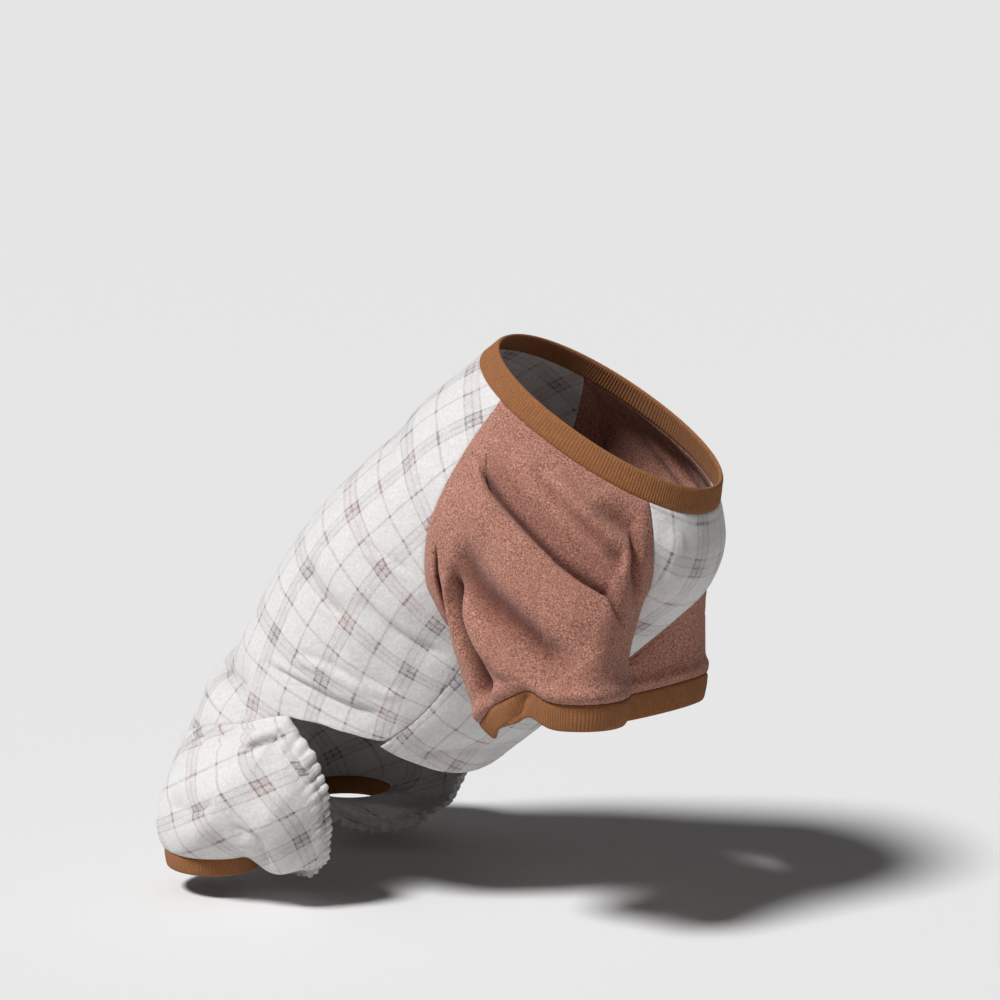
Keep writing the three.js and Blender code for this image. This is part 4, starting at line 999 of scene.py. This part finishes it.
def plaid_fleece():
    n = Nodes("plaid_fleece")
    uv = n.add("ShaderNodeUVMap", uv_map="Cloth").outputs["UV"]
    warp = n.add("ShaderNodeVectorMath", operation="SCALE")
    drift = n.add("ShaderNodeTexNoise")
    drift.inputs["Scale"].default_value = 1 / (PLAID_DRIFT[0] * MM)
    n.feed(drift.inputs["Vector"], n.object)
    centred = n.add("ShaderNodeVectorMath", operation="SUBTRACT")
    n.feed(centred.inputs[0], drift.outputs["Color"])
    centred.inputs[1].default_value = (0.5, 0.5, 0.5)
    n.feed(warp.inputs[0], centred.outputs[0])
    warp.inputs["Scale"].default_value = PLAID_DRIFT[1]
    moved = n.add("ShaderNodeVectorMath", operation="ADD")
    n.feed(moved.inputs[0], uv)
    n.feed(moved.inputs[1], warp.outputs[0])
    parts = n.add("ShaderNodeSeparateXYZ")
    n.feed(parts.inputs[0], moved.outputs[0])
    worn = n.noise(17, 3.0, 0.6)
    fuzz = n.noise(1.6, 2.0, 0.6)
    brushed = n.math("MULTIPLY_ADD", n.math("ADD", worn, fuzz), 1.5, -0.72, clamp=True)
    stripes = []
    for axis in ("X", "Y"):
        folded = n.math("PINGPONG", parts.outputs[axis], 0.5)
        place = n.math("MULTIPLY", folded, 2.0)
        line = n.ramp(place, STRIPES)
        stripes.append(n.math("MULTIPLY", line, brushed))
    both = n.math("MULTIPLY", stripes[0], stripes[1])
    single = n.math("MULTIPLY", n.math("ADD", *stripes), PLAID_STRIPE)
    total = n.math("MULTIPLY_ADD", both, PLAID_CROSSING, single, clamp=True)
    tint = n.blend(n.ramp(n.noise(55, 1.0), [(0.42, 0.0), (0.58, 1.0)]), PLAID_GREY, PLAID_PINK)
    mottled = n.blend(n.ramp(n.noise(3.2, 3.0, 0.65), [(0.3, 0.0), (0.75, 1.0)]), PLAID_BASE, PLAID_SHADE)
    colour = n.blend(total, mottled, tint)
    # painted shade in the cloth's hollows, up to 0.22 of the way to the darker colour
    colour = n.blend(n.painted_hollow_shade(0.22), colour, PLAID_PAINTED_SHADE)
    height = n.math("ADD", n.noise(0.9, 3.0, 0.6), n.math("MULTIPLY", n.noise(3.4, 2.0), 0.8))
    return n.finish(colour, height, 0.55, 1.1, 0.95, 0.35)


def brushed_cloth():
    n = Nodes("sleeve_cloth")
    speck = n.ramp(n.noise(1.5, 3.0, 0.7), SLEEVE_SPECK)
    slow = n.ramp(n.noise(30, 2.0), [(0.35, 0.0), (0.7, 1.0)])
    colour = n.blend(n.math("MULTIPLY", slow, 0.35), speck, SLEEVE_EVEN)
    # painted shade in the sleeve's hollows, up to 0.85 of the way to the darker colour
    colour = n.blend(n.painted_hollow_shade(0.85), colour, SLEEVE_PAINTED_SHADE)
    height = n.math("ADD", n.noise(0.9, 3.0, 0.65), n.math("MULTIPLY", n.noise(2.8, 2.0), 0.8))
    return n.finish(colour, height, 0.6, 1.0, 0.95, 0.12)


def knitted_rib():
    n = Nodes("ribbing")
    yarn = n.ramp(n.noise(1.0, 3.0, 0.6), RIB_YARN)
    slow = n.ramp(n.noise(14, 2.0), [(0.35, 0.0), (0.7, 1.0)])
    colour = n.blend(n.math("MULTIPLY", slow, 0.4), yarn, RIB_EVEN)
    height = n.noise(0.8, 3.0, 0.6)
    return n.finish(colour, height, 0.5, 0.7, 0.9, 0.08)


fleece, brown, ochre = plaid_fleece(), brushed_cloth(), knitted_rib()
back_panel(fleece)
belly_panel(fleece)
neck_band(ochre)
for way in (RIGHT, LEFT):
    sleeve(way, brown)
    front_cuff(way, ochre)
    leg(way, fleece)
    hind_cuff(way, ochre)


def direction(azimuth, elevation):
    """The way to an azimuth and an elevation in degrees, counted as in the views."""
    a, e = np.radians(azimuth), np.radians(elevation)
    return Vector((np.sin(a) * np.cos(e), -np.cos(a) * np.cos(e), np.sin(e)))


# Camera, at the photograph's angle
AZIMUTH, ELEVATION = 30, 11
CAMERA_DISTANCE = 3000
LENS, SENSOR = 127.0, 36
AIM_RIGHT, AIM_UP = -84.15, -59.5  # the middle of the picture, from the neck opening's middle
toward = direction(AZIMUTH, ELEVATION)
right = Vector((np.cos(np.radians(AZIMUTH)), np.sin(np.radians(AZIMUTH)), 0))
up = toward.cross(right)
aim = (right * AIM_RIGHT + up * AIM_UP) * MM
camera = bpy.data.objects.new("camera", bpy.data.cameras.new("camera"))
bpy.context.scene.collection.objects.link(camera)
camera.data.lens = LENS
camera.data.sensor_width = SENSOR
camera.location = aim + toward * CAMERA_DISTANCE * MM
camera.rotation_mode = "QUATERNION"
camera.rotation_quaternion = (-toward).to_track_quat("-Z", "Y")
bpy.context.scene.camera = camera

# Floor and light
FLOOR = -427
FLOOR_REACH = 60.0
FLOOR_PALE = (0.74, 0.74, 0.74, 1)
KEY = {"azimuth": -22, "elevation": 55, "power": 3.15, "softness": 13}
AMBIENT = 0.1
floor_mesh = bpy.data.meshes.new("floor")
floor_mesh.from_pydata(
    [(x * FLOOR_REACH, y * FLOOR_REACH, FLOOR * MM) for x, y in ((-1, -1), (1, -1), (1, 1), (-1, 1))],
    [], [(0, 1, 2, 3)],
)
floor = bpy.data.objects.new("floor", floor_mesh)
bpy.context.scene.collection.objects.link(floor)
pale = Nodes("floor_pale")
floor_mesh.materials.append(pale.finish(FLOOR_PALE, pale.noise(4, 2.0), 0.03, 0.2, 0.9, 0.0))


def sun(name, azimuth, elevation, power, softness):
    """Light from an azimuth and an elevation, softness degrees wide."""
    light = bpy.data.lights.new(name, "SUN")
    light.energy = power
    light.angle = np.radians(softness)
    lamp = bpy.data.objects.new(name, light)
    lamp.rotation_mode = "QUATERNION"
    lamp.rotation_quaternion = (-direction(azimuth, elevation)).to_track_quat("-Z", "Y")
    bpy.context.scene.collection.objects.link(lamp)


sun("key", **KEY)

world = bpy.data.worlds.new("studio")
world.use_nodes = True
world.node_tree.nodes["Background"].inputs["Color"].default_value = (1, 1, 1, 1)
world.node_tree.nodes["Background"].inputs["Strength"].default_value = AMBIENT
bpy.context.scene.world = world
bpy.context.scene.view_settings.view_transform = "Standard"
bpy.context.scene.view_settings.look = "Medium High Contrast"
